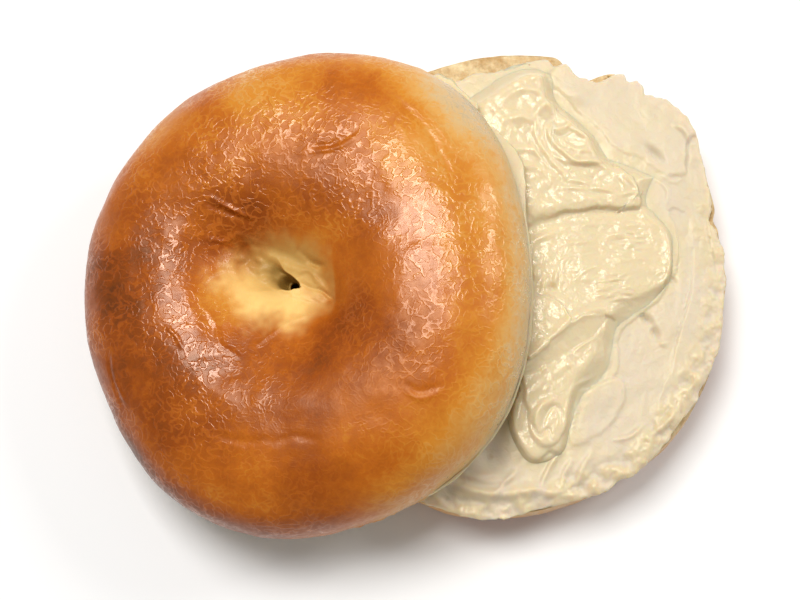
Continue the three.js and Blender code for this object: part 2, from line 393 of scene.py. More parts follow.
# The crust's colours from floury to nearly burnt, and the dough's from its own pale yellow to the olive of
# painted shade.
BAKED_COLOURS = [
    (0.0, "#b7a484"),
    (0.18, "#ceac78"),
    (0.34, "#d39c51"),
    (0.5, "#cb8126"),
    (0.66, "#b6600f"),
    (0.83, "#934404"),
    (1.0, "#562703"),
]
DOUGH_AND_SHADE_COLOURS = [(0.0, "#f3ca7a"), (0.45, "#cda35a"), (0.8, "#ae8846"), (1.0, "#94702f")]


def boiled_and_baked_crust(look):
    """Boiled and baked wheat crust: a thin glossy skin, brown in patches and dried into fine wrinkles."""
    material, tree, place = new_material("boiled_and_baked_crust")
    browning_and_shade, wrinkled, glossy, dough, dough_shade = (
        add(tree, "ShaderNodeAttribute", attribute_name=name).outputs["Fac"]
        for name in ("browning_and_shade", "wrinkled", "glossy", "dough", "dough_shade")
    )
    patches, mottle, warp, grain = (
        add(
            tree,
            "ShaderNodeTexNoise",
            {"Vector": place, "Scale": per_mm(mm), "Detail": detail, "Roughness": rough},
        )
        for mm, detail, rough in ((11, 4, 0.6), (2.2, 3, 0.7), (5, 1, 0.5), (0.5, 2, 0.5))
    )
    inputs = {0: patches, 1: look.patchiness, 2: -0.5 * look.patchiness}
    uneven = add(tree, "ShaderNodeMath", inputs, operation="MULTIPLY_ADD")
    fine = add(tree, "ShaderNodeMath", {0: mottle, 1: 0.18, 2: -0.07}, operation="MULTIPLY_ADD")
    both = add(tree, "ShaderNodeMath", {0: uneven, 1: fine}, operation="ADD")
    # Raised wrinkles of the dried skin, 1 to 2 mm apart, wind over it and are a little paler than the rest.
    inputs = {0: warp.outputs["Color"], 1: (3 * MM, 3 * MM, 3 * MM), 2: place}
    bent = add(tree, "ShaderNodeVectorMath", inputs, operation="MULTIPLY_ADD")
    inputs = {"Vector": bent, "Scale": per_mm(1.9), "Detail": 1, "Roughness": 0.4}
    winding = add(tree, "ShaderNodeTexNoise", inputs)
    middle = add(tree, "ShaderNodeMath", {0: winding, 1: 0.5}, operation="SUBTRACT")
    square = add(tree, "ShaderNodeMath", {0: middle, 1: middle, 2: 0.0006}, operation="MULTIPLY_ADD")
    beside = add(tree, "ShaderNodeMath", {0: square}, operation="SQRT")
    inputs = {"Value": beside, "From Min": 0.02, "From Max": 0.09, "To Min": 1.0, "To Max": 0.0}
    raised = add(tree, "ShaderNodeMapRange", inputs, interpolation_type="SMOOTHSTEP")
    held = add(tree, "ShaderNodeMath", {0: raised, 1: wrinkled}, operation="MULTIPLY")
    paler = add(tree, "ShaderNodeMath", {0: held, 1: -0.12, 2: both}, operation="MULTIPLY_ADD")
    # Where it is palest, the crust is speckled.
    inputs = {"Value": mottle, "From Min": 0.5, "From Max": 0.66, "To Min": 0.0, "To Max": 0.08}
    specks = add(tree, "ShaderNodeMapRange", inputs)
    inputs = {"Value": browning_and_shade, "From Min": 0.2, "From Max": 0.45, "To Min": 1.0, "To Max": 0.0}
    pale = add(tree, "ShaderNodeMapRange", inputs)
    speckled = add(tree, "ShaderNodeMath", {0: specks, 1: pale, 2: paler}, operation="MULTIPLY_ADD")
    brown = add(tree, "ShaderNodeMath", {0: speckled, 1: browning_and_shade}, operation="ADD")
    baked = add(tree, "ShaderNodeValToRGB", {"Fac": brown}, BAKED_COLOURS)
    # Unbrowned dough in the dent is pale yellow; painted shade turns it olive up its slope and down the slit.
    dough_and_shade = add(tree, "ShaderNodeValToRGB", {"Fac": dough_shade}, DOUGH_AND_SHADE_COLOURS)
    mixed = add(tree, "ShaderNodeMix", {"Factor": dough, 6: baked, 7: dough_and_shade}, data_type="RGBA")
    skin = add(tree, "ShaderNodeBump", {"Height": held, "Distance": 0.08 * MM, "Strength": 0.8})
    inputs = {"Height": grain, "Distance": 0.07 * MM, "Strength": 0.35, "Normal": skin}
    skin = add(tree, "ShaderNodeBump", inputs)
    # The wrinkles' tops and the places that dried to a shine are smoother, and the dough is matt.
    inputs = {"Value": mottle, "From Min": 0.3, "From Max": 0.7, "To Min": 0.3, "To Max": 0.44}
    dull = add(tree, "ShaderNodeMapRange", inputs)
    worn = add(tree, "ShaderNodeMath", {0: held, 1: -0.16, 2: dull}, operation="MULTIPLY_ADD")
    dried = add(tree, "ShaderNodeMath", {0: glossy, 1: -0.1, 2: worn}, operation="MULTIPLY_ADD")
    matt = add(tree, "ShaderNodeMath", {0: dough, 1: 0.22, 2: dried}, operation="MULTIPLY_ADD")
    inputs = {0: glossy, 1: 1.8 * look.gloss, 2: 0.3 * look.gloss}
    boiled = add(tree, "ShaderNodeMath", inputs, operation="MULTIPLY_ADD")
    inputs = {0: held, 1: 3 * look.gloss, 2: boiled}
    film = add(tree, "ShaderNodeMath", inputs, operation="MULTIPLY_ADD")
    inputs = {
        "Base Color": mixed.outputs[2],
        "Roughness": matt,
        "IOR": 1.45,
        "Specular Tint": colour("#ffe4c6"),
        "Normal": skin,
        "Coat Weight": film,
        "Coat Roughness": 0.2,
        "Coat Normal": skin,
        "Subsurface Weight": 0.12,
        "Subsurface Radius": (1.0, 0.45, 0.2),
        "Subsurface Scale": 2.5 * MM,
    }
    return shade(material, inputs)


def wheat_crumb(look):
    """Wheat crumb, cut with a knife: soft, pale, matt and full of small pores."""
    material, tree, place = new_material("wheat_crumb")
    pores = add(tree, "ShaderNodeTexVoronoi", {"Vector": place, "Scale": per_mm(1.7), "Randomness": 1.0})
    inputs = {"Vector": place, "Scale": per_mm(4), "Detail": 5, "Roughness": 0.65}
    cloud = add(tree, "ShaderNodeTexNoise", inputs)
    ramp = add(tree, "ShaderNodeValToRGB", {"Fac": cloud}, [(0.3, "#b78c52"), (0.7, look.crumb_code)])
    inputs = {"Value": pores, "From Min": 0.15, "From Max": 0.55, "To Min": 0.0, "To Max": 1.0}
    opened = add(tree, "ShaderNodeMapRange", inputs)
    inputs = {
        "Base Color": ramp,
        "Roughness": 0.85,
        "Normal": add(tree, "ShaderNodeBump", {"Height": opened, "Distance": 0.5 * MM, "Strength": 0.7}),
        "Subsurface Weight": 0.25,
        "Subsurface Radius": (1.0, 0.7, 0.4),
        "Subsurface Scale": 2 * MM,
    }
    return shade(material, inputs)


def soft_cream_cheese(look):
    """Cream cheese: smooth, wet and yellowish where it is thick, matt and pinkish where it is thin."""
    material, tree, place = new_material("soft_cream_cheese")
    wetness = add(tree, "ShaderNodeAttribute", attribute_name="wetness").outputs["Fac"]
    inputs = {"Vector": place, "Scale": per_mm(7), "Detail": 4, "Roughness": 0.6}
    cloud = add(tree, "ShaderNodeTexNoise", inputs)
    blend = add(tree, "ShaderNodeMath", {0: cloud, 1: 0.24, 2: wetness}, operation="MULTIPLY_ADD")
    stops = [(0.0, "#c09f70"), (0.1, look.thin_code), (0.5, "#d9c8a4"), (1.0, look.thick_code)]
    ramp = add(tree, "ShaderNodeValToRGB", {"Fac": blend}, stops)
    inputs = {"Value": blend, "From Min": 0.1, "From Max": 0.9, "To Min": 0.5, "To Max": 0.2}
    gloss = add(tree, "ShaderNodeMapRange", inputs)
    inputs = {"Value": blend, "From Min": 0.4, "From Max": 0.9, "To Min": 0.0, "To Max": 0.08}
    film = add(tree, "ShaderNodeMapRange", inputs)
    inputs = {"Vector": place, "Scale": per_mm(2.2), "Detail": 3, "Roughness": 0.55, "Distortion": 1.0}
    drag = add(tree, "ShaderNodeTexNoise", inputs)
    grain = add(tree, "ShaderNodeTexNoise", {"Vector": place, "Scale": per_mm(0.45), "Detail": 2})
    skin = add(tree, "ShaderNodeBump", {"Height": drag, "Distance": 0.25 * MM, "Strength": 0.6})
    inputs = {"Height": grain, "Distance": 0.08 * MM, "Strength": 0.3, "Normal": skin}
    skin = add(tree, "ShaderNodeBump", inputs)
    inputs = {
        "Base Color": ramp,
        "Roughness": gloss,
        "IOR": 1.46,
        "Specular Tint": colour("#fff6e0"),
        "Normal": skin,
        "Coat Weight": film,
        "Coat Roughness": 0.08,
        "Coat Normal": skin,
        "Subsurface Weight": 0.6,
        "Subsurface Radius": (1.0, 0.55, 0.25),
        "Subsurface Scale": 2.6 * MM,
    }
    return shade(material, inputs)


def white_painted_board():
    """Smooth white painted board."""
    material, tree, place = new_material("white_painted_board")
    tooth = add(tree, "ShaderNodeTexNoise", {"Vector": place, "Scale": per_mm(3), "Detail": 2})
    skin = add(tree, "ShaderNodeBump", {"Height": tooth, "Distance": 0.02 * MM, "Strength": 0.2})
    return shade(material, {"Base Color": colour("#f7f6f4"), "Roughness": 0.8, "Normal": skin})


def shared(make, look):
    """The material that is named like the function that makes it, made on first use."""
    return bpy.data.materials.get(make.__name__) or make(look)


# --- the top half ---

# Where the hole's last opening lies in the lid's plan, in mm, its radius, and the height of its foot.
OPENING_CENTRE = np.array([-2.3, 0.9])
OPENING_RADIUS = 0.85
OPENING_FOOT = 4

# The bands of the top half's rows, and of the bottom half's.
CUT, WALL, SHOULDER, DENT, SLIT, OPENING = range(6)
DIMPLE, FOOT, SIDE, BASE_WALL, BASE_CUT = range(5)

# The baked skin's larger creases and the ridges beside them, in the lid's own plan: points, half width and
# height in mm.
SKIN_FOLDS = [
    ([(-44, -17), (-43.5, -22), (-41, -28)], 0.35, 0.35),
    ([(-44.8, -17), (-44.4, -22), (-42, -28.5)], 0.7, -0.35),
    ([(-16, -37), (-9, -38.5), (-3, -38)], 0.5, -0.4),
    ([(-3, -39), (3, -37.5), (8, -38.5)], 0.5, -0.35),
    ([(-19, 20), (-15, 17.5), (-10.5, 15.5)], 0.5, 0.55),
    ([(-20, 18.6), (-15.5, 16.2), (-10.5, 14.2)], 0.6, -0.5),
    ([(-20.5, 11), (-17, 10.5), (-14.5, 12)], 0.5, 0.35),
    ([(6, 31), (11, 31.5), (16, 34)], 0.5, -0.45),
    ([(7, 29.5), (12, 30.3), (17, 33)], 0.45, 0.4),
    ([(28.5, -28), (31.5, -29.6), (35.5, -28.4)], 0.45, 0.4),
    ([(28, -26.6), (32, -28), (36, -27)], 0.6, -0.3),
    ([(-29, -11), (-26.5, -13.5), (-25, -16)], 0.5, 0.4),
    ([(-7.7, -15.1), (-4.6, -12.3), (-1.2, -9.6), (2.1, -7.8), (4.5, -6.9)], 0.5, 0.3),
    ([(-21, -6), (-18, -10), (-16.5, -15), (-12, -18)], 0.6, 0.35),
    ([(24, 44), (30, 38), (35, 31), (38, 24)], 0.6, -0.35),
    ([(30, 42), (36, 35), (40, 28)], 0.5, 0.3),
]

# The edges of the slit's pinched basin: places along the slit in mm, and how far across it the edge lies.
BASIN_UPPER_EDGE = ([-14, -9, -4, 1, 3.5, 5], [0.4, 1.2, 1.4, 1.0, 0.2, -0.8])
BASIN_LOWER_EDGE = ([-14, -12, -9, -5, 0, 4, 5], [-2.4, -4.6, -5.8, -4.6, -3.9, -1.6, -0.8])

# Relief round the slit, in mm along it and across it from its middle. First soft lumps and hollows: place,
# half length, half width, direction and height.
SLIT_LUMPS = [
    (-9.3, -1.9, 2.0, 1.7, 0, 1.5),
    (-6.6, -1.4, 1.6, 1.6, 30, 1.5),
    (-4.9, -0.2, 1.5, 1.3, 0, 1.2),
    (-8.0, 0.2, 1.3, 0.9, 0, 0.9),
    (-4.4, -2.9, 1.6, 1.1, 20, 0.9),
    (-12.0, -1.5, 1.3, 1.0, 60, 1.0),
    (-11.2, -4.4, 1.5, 0.9, -40, 0.7),
    (3.8, -3.4, 3.5, 1.6, -5, 0.5),
    (6.0, 5.0, 2.6, 1.0, 0, -0.9),
    (10, 5, 4, 3, 30, 0.4),
]
SLIT_FOLDS = [
    ([(0.5, 5.9), (3.9, 5.2), (6.1, 5.3), (8.0, 5.8)], 0.6, -0.8),
    ([(-2, 2.6), (2.7, 3.3), (5.3, 3.9), (6.7, 3.4), (8.1, 2.4), (10.9, 1.8)], 0.75, 0.7),
    ([(4.4, 0.2), (7, 0.2), (9.5, 0.7)], 0.5, -0.4),
    ([(9.0, 0.9), (10.8, 0.7), (12.4, 0.3), (13.6, -0.2)], 0.5, -0.9),
    ([(5.5, -2.5), (8.5, -1.4), (12, -1.6)], 0.5, 0.12),
    ([(4.5, -3.6), (7.5, -2.6), (11, -2.9)], 0.5, 0.12),
    ([(-14, 3), (-9, 3.4), (-3, 4.4)], 0.6, 0.35),
    ([(-12.5, -5.5), (-14, -8), (-14.5, -11)], 0.5, 0.25),
    ([(-3, -8), (-2, -11), (0, -13.5)], 0.6, 0.2),
    ([(1.5, -9), (3, -12), (5.5, -15)], 0.5, 0.2),
]

# Patches of browning, painted light and painted shade in the lid's plan: place, radius in mm and how much
# browner.
BROWNING_AND_PAINTED_LIGHT_PATCHES = [
    ((-14, -21), 13, 0.16),
    ((6, -22), 13, 0.1),
    # These three are partly browning and partly painted shade on the darker left side.
    ((-34, 24), 15, 0.16),
    ((-46, -2), 15, 0.16),
    ((-36, -30), 15, 0.16),
    ((12, 27), 10, 0.14),
    ((-8, 22), 11, 0.14),
    ((16, 12), 8, 0.1),
    ((12, -10), 8, 0.12),
    ((-26, 4), 9, 0.04),
    # Partly painted highlight: paler left of the dent, where the shine falls.
    ((-17, -4), 8, -0.14),
    ((24, -14), 12, 0.18),
    # Painted shade: darker low on the right, which faces away from the light.
    ((34, -32), 13, 0.05),
    ((40, -4), 10, 0.06),
    # Painted light: paler on the top side, where the light falls.
    ((-6, 48), 14, -0.2),
    ((-3, -16), 8, -0.12),
    # Partly painted highlight: paler left of the dent, where the shine falls.
    ((-20, -8), 9, -0.1),
    # Painted shade: darker at the lower left edge.
    ((-36, -36), 14, 0.04),
    ((30, 30), 12, -0.06),
    ((34, 4), 13, -0.03),
    # Painted shade: darker at the lower edge.
    ((4, -44), 12, 0.03),
]

# Bands of browning along the rim: direction and half width in degrees, width as a share of the radius, and
# how much browner. The band at the lower left is painted shade.
RIM_BROWNING_AND_SHADE = [
    (50, 42, 0.22, -0.27),
    (5, 50, 0.12, -0.22),
    (-45, 50, 0.2, -0.12),
    (262, 60, 0.2, -0.04),
    # Painted shade: the flared lower left edge, which faces away from the light, is darker.
    (240, 55, 0.12, 0.22),
]

# Where the boiled skin dried to a thicker shine, or to less of one: place, radius in mm and how much more.
GLOSS_PATCHES = [((33, 10), 14, 1), ((-20, -8), 11, 1), ((23, -24), 15, -1), ((4, 30), 10, -0.6)]


def slit_lip(angle):
    """The lip of the slit, an oval turned in the lid's plan."""
    turn = angle - SLIT_TURN
    oval = np.stack([SLIT_HALF_LENGTH * np.cos(turn), SLIT_HALF_WIDTH * np.sin(turn)], -1)
    return np.stack(turned(oval, (0, 0), -SLIT_TURN), -1) + SLIT_CENTRE


def lid_plan(angle, share):
    """A point of the lid's plan, at a share of the way from the slit's lip to the rim."""
    return mix(slit_lip(angle), polar(rim_radius(angle), angle), share[..., None])


def slit_plan(angle, narrowed):
    """A point down the slit, from its lip at 0 to the last small opening at 1."""
    return mix(slit_lip(angle), polar(OPENING_RADIUS, angle) + OPENING_CENTRE, narrowed[..., None])


def slit_depth(plan):
    """How far the pinched slit and its opening sink below the dent, in mm."""
    along, across = turned(plan, SLIT_CENTRE, SLIT_TURN)
    wander = 0.3 * noise(plan, 2.5, 17)
    upper = np.interp(along, *BASIN_UPPER_EDGE) + wander
    lower = np.interp(along, *BASIN_LOWER_EDGE) + wander
    share = (across - lower) / np.maximum(upper - lower, 0.3)
    soft = 0.4 * (1 - smooth(along, -5, 0))
    basin = smooth(share, -0.08 - soft, 0.3 + soft)
    basin = basin * (1 - smooth(share, 0.88 - 0.5 * soft, 1.04 + 0.6 * soft))
    closed = smooth(along, -14, -10.5) * (1 - smooth(along, 3.4, 5.0))
    # The opening is a funnel, drawn to a point at its right.
    funnel = np.hypot((along - 1.3) / np.where(along > 1.3, 2.4, 3.6), (across + 1.3) / 2.2)
    return mix(3.2, 2.8, smooth(-along, 2, 7)) * basin * closed + 4.2 * (1 - smooth(funnel, 0.3, 1.05))


def lid_rows():
    """The lid's points, row by row from the opening in the cut face round to the slit, and their bands."""
    angle = around(480)
    level = 0 * angle
    crest = LID_HEIGHT * waves(CREST_WAVES, angle)
    direction, half_width, out = LID_FLARE
    tuck = LID_TUCK - out * near(direction, half_width, angle)

    across = steps(15, skip=0)
    cut_edge = lid_plan(angle, 1 - tuck + 0 * across)
    cut = with_height(mix(slit_plan(angle, 1 + level), cut_edge, across[..., None]), 0)

    up = steps(12)
    wall = with_height(lid_plan(angle, 1 - tuck * (1 - up) ** 2), LID_EQUATOR * up + level)

    turn = steps(60) * np.pi / 2
    outward = np.cos(turn).clip(0) ** (2 / SHOULDER_POWER) + level
    upward = np.sin(turn) ** (2 / SHOULDER_POWER)
    shoulder = with_height(lid_plan(angle, mix(CREST_AT, 1, outward)), mix(LID_EQUATOR, crest, upward))

    down = steps(76)
    fall = down ** (DENT_POWER * waves(DENT_WAVES, angle))
    dent = with_height(lid_plan(angle, CREST_AT * (1 - down) + level), mix(crest, SLIT_LIP_HEIGHT, fall))

    slit = with_height(slit_plan(angle, steps(34) + level), SLIT_LIP_HEIGHT)
    opening = slit[-1:].copy()
    opening[..., 2] = OPENING_FOOT
    rows, band = bands([cut, wall, shoulder, dent, slit, opening])
    return rows, band, angle


def pale_dough(plan):
    """1 where the dough in the dent stayed pale, 0 where it browned. Its right edge is sharp."""
    wander = 0.14 * layered_noise(plan, 6, 47) + 0.06 * noise(plan, 1.2, 48)
    reach = np.hypot((plan[..., 0] + 4.5) / 17.5, (plan[..., 1] - 0.5) / 14.5) + wander
    reach = reach + 0.1 * hump(far(plan, (-13, -8)), 7)
    return (1 - smooth(reach, 0.34, 1.05)) * (1 - smooth(plan[..., 0] + 0.5 * wander, 9.2, 10.0))


def moist_dough(plan):
    """Painted shade on the dough: 0 on the lower slope, more on the upper one and the basin, 1 down the slit.
    """
    upper = 0.6 * smooth(plan[..., 1] + 0.5 * plan[..., 0], -3, 6)
    basin = 0.4 * blobs(plan, [(-7.5, 0, 6, 3.4, -25, 1)])
    depth = slit_depth(plan)
    return (np.maximum(upper, basin) + 0.75 * smooth(depth, 0.4, 4) + 0.3 * smooth(depth, 4.6, 7)).clip(0, 1)


def shape_lid(rows, band):
    """Adds the lid's lumps, the slit with its folds, the creases and the torn cut edge."""
    plan = rows[..., :2].copy()
    outside = (band > CUT) & (band < OPENING)
    lumps = 0.6 * layered_noise(rows, 26, 3) + 0.2 * layered_noise(rows, 9, 5) - 0.48
    lumps += beads(plan, SKIN_FOLDS) * smooth(rows[..., 2], LID_EQUATOR, LID_EQUATOR + 5)
    rows = rows + row_normals(rows, closed=True) * (lumps * outside)[..., None]

    along, across = turned(plan, SLIT_CENTRE, SLIT_TURN)
    by_slit = np.stack([along, across], -1)
    dented = outside & (band > SHOULDER)
    relief = beads(by_slit, SLIT_FOLDS) + blobs(by_slit, SLIT_LUMPS) - slit_depth(plan)
    relief += 0.12 * layered_noise(plan, 2.2, 19) * pale_dough(plan)
    rows[..., 2] += relief * dented

    # The upper lip hangs a little over the slit.
    hang = hump(across - 2.2, 1.3) * smooth(along, -13, -9) * (1 - smooth(along, 2.5, 5)) * dented
    hang = hang * mix(0.2, 1, smooth(along, -4, 0))
    rows += 0.8 * hang[..., None] * np.array([np.sin(SLIT_TURN), -np.cos(SLIT_TURN), 0.1])

    # The knife left the cut face slightly uneven, and its edge ragged.
    rows[..., 2] += (band == CUT) * 0.35 * layered_noise(rows, 4, 31)
    torn = (band == CUT) * smooth(far(plan), 48, 56)
    rows[..., :2] *= 1 + (0.006 * torn * layered_noise(plan, 2.5, 33))[..., None]
    return rows


def lid_browning(rows, angle):
    """How brown the crust is, from 0, pale and floury, to 1, nearly burnt, with painted light and shade in
    places.
    """
    plan = rows[..., :2]
    share = far(plan) / rim_radius(angle)
    brown = 0.65 + 0.1 * layered_noise(plan, 20, 41)
    # The right side browned less than the rest, and least of all low down on its wall.
    rightward = plan @ polar(1 / BAGEL_RADIUS, np.radians(12))
    brown -= 0.22 * smooth(rightward, 0.35, 0.95)
    side = 0.5 + 0.5 * np.cos(angle - np.radians(5))
    brown -= (1 - smooth(rows[..., 2], 2, 17)) * (0.4 * side - 0.04)
    # Some rim bands and patches add painted light and shade as well as browning.
    for direction, half_width, width, more in RIM_BROWNING_AND_SHADE:
        brown += more * near(direction, half_width, angle) * smooth(share, 1 - width, 1 - 0.3 * width)
    wander = 2.5 * noise(plan, 6, 43)
    for place, radius, more in BROWNING_AND_PAINTED_LIGHT_PATCHES:
        brown += more * hump(far(plan, place) + wander, radius)
    return brown


def lid_wrinkles(rows):
    """How wrinkled the skin is: most on the ring round the dent, and not at all on the pale dough in it."""
    plan = rows[..., :2]
    away = far(plan)
    patchy = 0.7 + 0.45 * layered_noise(plan, 9, 49)
    strong = smooth(away, 10, 17) * (1 - 0.3 * smooth(away, 38, 50))
    strong = strong * (1 - 0.75 * hump(far(plan, (12, -32)), 24))
    return strong * patchy * (1 - pale_dough(plan)) * smooth(rows[..., 2], 0, 9)


def lid_gloss(plan):
    """How much thicker than usual the shine of the boiled skin is."""
    return sum(more * hump(far(plan, place), radius) for place, radius, more in GLOSS_PATCHES)


def lean(rows):
    """Moves points from the lid's own frame to where it leans on the bottom half."""
    cos, sin = np.cos(LID_LEAN), np.sin(LID_LEAN)
    x = rows[..., 0] * cos - rows[..., 2] * sin + LID_CENTRE[0]
    z = rows[..., 0] * sin + rows[..., 2] * cos + LID_CENTRE_HEIGHT
    return np.stack([x, rows[..., 1] + LID_CENTRE[1], z], -1)


# --- the bottom half ---

CUT_EDGE = 0.988  # where the cut face's edge rounds over, as a share of the radius
CUT_EDGE_DROP = 0.5
CRUMB_FROM = 12  # above this height, faces that look up are crumb


def settle(rows):
    """Moves points from the bottom half's own frame to where it lies."""
    return rows + np.append(BASE_CENTRE, 0)


def cut_height(x):
    """Height of the cut face at a distance right of the bottom half's centre."""
    return BASE_HEIGHT + CUT_SLOPE * x


def base_rows():
    """The bottom half's points from the dimple in its underside to its cut face's middle, and their bands."""
    angle = around(480)
    level = 0 * angle
    inner = mix(0.02, BASE_DIMPLE, steps(10))
    foot = mix(BASE_DIMPLE, BASE_FOOT, steps(14))
    turn = steps(30) * np.pi / 2
    side = mix(BASE_FOOT, 1, np.sin(turn))
    up = steps(12)
    back = CUT_EDGE * mix(1, 0.02, steps(52))
    share = np.concatenate([inner, foot, side, mix(1, CUT_EDGE, up**3), back])
    plan = polar(rim_radius(angle) * share - notch_depth(angle) * smooth(share, 0.7, 1), angle)
    top = cut_height(plan[..., 0])
    heights = [
        BASE_DIMPLE_DEPTH * (1 - smooth(inner, 0, BASE_DIMPLE)) + level,
        0 * foot + level,
        BASE_EQUATOR * (1 - np.cos(turn)) + level,
        mix(BASE_EQUATOR, top[-len(back) - len(up) : -len(back)] - CUT_EDGE_DROP, up),
        top[-len(back) :] - CUT_EDGE_DROP * smooth(back, 0.96, CUT_EDGE),
    ]
    height, band = bands(heights)
    return with_height(plan, height), band


def shape_base(rows, band):
    """Adds the lumps of the side and the pits of the cut face."""
    wall = ((band == SIDE) | (band == BASE_WALL)) * smooth(rows[..., 2], 0.2, 4)
    lumps = 0.4 * layered_noise(rows, 18, 61) + 0.12 * layered_noise(rows, 5, 62) - 0.2
    rows = rows + row_normals(rows, closed=False) * (wall * lumps)[..., None]
    plan = rows[..., :2]
    pits = layered_noise(plan, 2.4, 63, 4)
    rows[..., 2] += (band == BASE_CUT) * (0.35 * pits - 0.25 * np.abs(pits)) * smooth(far(plan), 20, 40)
    return rows


# --- the cream cheese ---

# All of this is in mm from the bottom half's centre, with heights over its cut face.

SPREAD_SUNK = 0.15  # how deep its underside sinks into the crumb
SPREAD_THINNEST = 0.35
SPREAD_LIP = 0.028  # the width of its rounded lip, as a share of the radius
SPREAD_LIP_HEIGHT = 0.35  # the lip's height, as a share of the spread's
MOUND_RAISED = 0.3  # how high the mound's underside lies over the cut face
MOUND_EDGE_WIDTH = 1.6  # the width over which the mound's edge rises
MOUND_CENTRE = np.array([8, -1])
MOUND_EDGE = [
    (12.6, 53), (14.2, 45.6), (18.3, 41.5), (23.4, 36.2), (26.4, 31), (30, 29.6), (35.7, 27.1), (39.6, 25),
    (37.6, 22.6), (36.4, 18), (38.6, 14.9), (41.8, 10.8), (42.3, 6), (41.4, -0.3), (39.6, -4.6), (35, -9.8),
    (29, -13.8), (27.2, -17.5), (26.4, -23), (23, -27.5), (18.4, -32), (15.8, -38.5), (13.6, -44.4),
    (9.6, -47), (4.6, -47), (0.8, -41), (-1, -34), (-7, -30), (-25, -28), (-40, -12), (-40, 12), (-28, 34),
    (-12, 45), (-2, 52), (6, 55),
]
MOUND_HEIGHT = 6.6
# Where its edge was wiped flat: direction and half width in degrees, and mm added to the edge's slope.
MOUND_SOFT_EDGES = [(115, 75, 5), (52, 28, 3.5), (20, 22, 1.5), (-20, 22, 5), (-45, 22, 3), (-64, 26, 4.5)]
MOUND_EDGE_HEIGHT = 3.9

# Layers that the knife laid in turn, each over the ones before it: the edge, a place with its height, how
# much that grows for each mm along x and y, the radius that its edge turns down with, the width over which
# the edge fades into what lies under it, and the depth and direction of the streaks. Where it was wiped, the
# edge fades over more: place, radius and how much more.
MOUND_LAYERS = [
    dict(
        edge=[
            (2.7, -26), (2.2, -30), (0.2, -36.4), (1.7, -41.8), (4.6, -46.3), (7.8, -46.7), (10.6, -44.4),
            (14.5, -46), (18, -42), (22, -34), (27, -30), (32, -24), (33, -17), (28.4, -12.6),
            (18.6, -9), (8, -18),
        ],
        at=(12, -27), height=5.7, grows=(-0.07, 0.03), turn=2.8, soft=0.6, streaks=0.05, along=60,
    ),
    dict(
        edge=[
            (3.2, -24), (4.0, -31.5), (4.6, -36), (5.4, -41), (8.2, -43.6), (11.2, -43), (14.2, -38.5),
            (16.4, -32.2), (19.2, -29.8), (22.3, -26.6), (24.4, -23.6), (23.6, -17), (24.4, -11.5),
            (18.6, -9), (8, -17),
        ],
        at=(12, -27), height=6.4, grows=(-0.06, 0.0), turn=1.8, soft=1.2, streaks=0.1, along=40,
    ),
    dict(
        edge=[(3, -26), (10.6, -23.4), (15.2, -20.5), (20.9, -16.8), (24, -11), (18.6, -9), (4, -22)],
        at=(13, -21.7), height=5.9, grows=(-0.2, 0.23), turn=0.5, soft=0.6, streaks=0.04, along=37,
    ),
    dict(
        edge=[
            (-12, 14), (-12, -28), (2, -26), (4.7, -24), (9, -19.4), (14.8, -13.8), (18.6, -11.7),
            (21.6, -11.3), (25.8, -12.3), (29, -14.2), (34.6, -9.9), (38.8, -4.8), (40.8, -0.3), (41.6, 5),
            (41.4, 9.8), (38.8, 14), (35, 17), (20, 18), (6, 16),
        ],
        at=(20, 6), height=5.6, grows=(-0.03, -0.04), turn=1.3, soft=0.9, streaks=0.07, along=4,
    ),
    dict(
        edge=[(4, -4), (8.2, -6.2), (12.9, -7.9), (15.6, -13.2), (10.5, -18), (4, -22)],
        at=(10, -12), height=7.3, grows=(0.02, -0.1), turn=0.9, soft=0.5, streaks=0.02, along=50,
    ),
    dict(
        edge=[
            (27, 31.5), (30, 29.2), (35.5, 26.9), (39.2, 25), (37.2, 22.6), (35.8, 18), (34.8, 17),
            (30, 18.5), (25, 24),
        ],
        at=(33, 22), height=4.9, grows=(-0.2, 0.0), turn=0.8, soft=2.0, streaks=0.05, along=30,
    ),
    dict(
        edge=[
            (-14, 12.5), (0, 11.6), (6.1, 12.2), (9.4, 13.6), (12.9, 14.5), (19.3, 15.4), (25.5, 15.9),
            (31.5, 15.9), (33.8, 17), (33.6, 20.7), (31.9, 23.6), (29.2, 26.8), (26, 28.8), (26.4, 31),
            (25.4, 34.2), (20.6, 38.6), (17.9, 41.3), (13.6, 45.4), (12.2, 53), (4, 55), (-10, 47), (-22, 28),
        ],
        at=(18, 22), height=7.0, grows=(-0.03, 0.04), turn=0.8, soft=0.5, streaks=0.14,
        along=-52, wiped=[(5, 12.5, 9, 2.4), (22, 37, 6, 1.6)],
    ),
    dict(
        edge=[
            (11.5, 40.5), (9.2, 36), (10.6, 30.5), (15, 27.4), (24, 27.6), (25.2, 33), (20, 37.8), (15, 42),
        ],
        at=(17, 33), height=7.7, grows=(0.02, -0.03), turn=1.2, soft=1.0, streaks=0.12, along=-30,
    ),
]
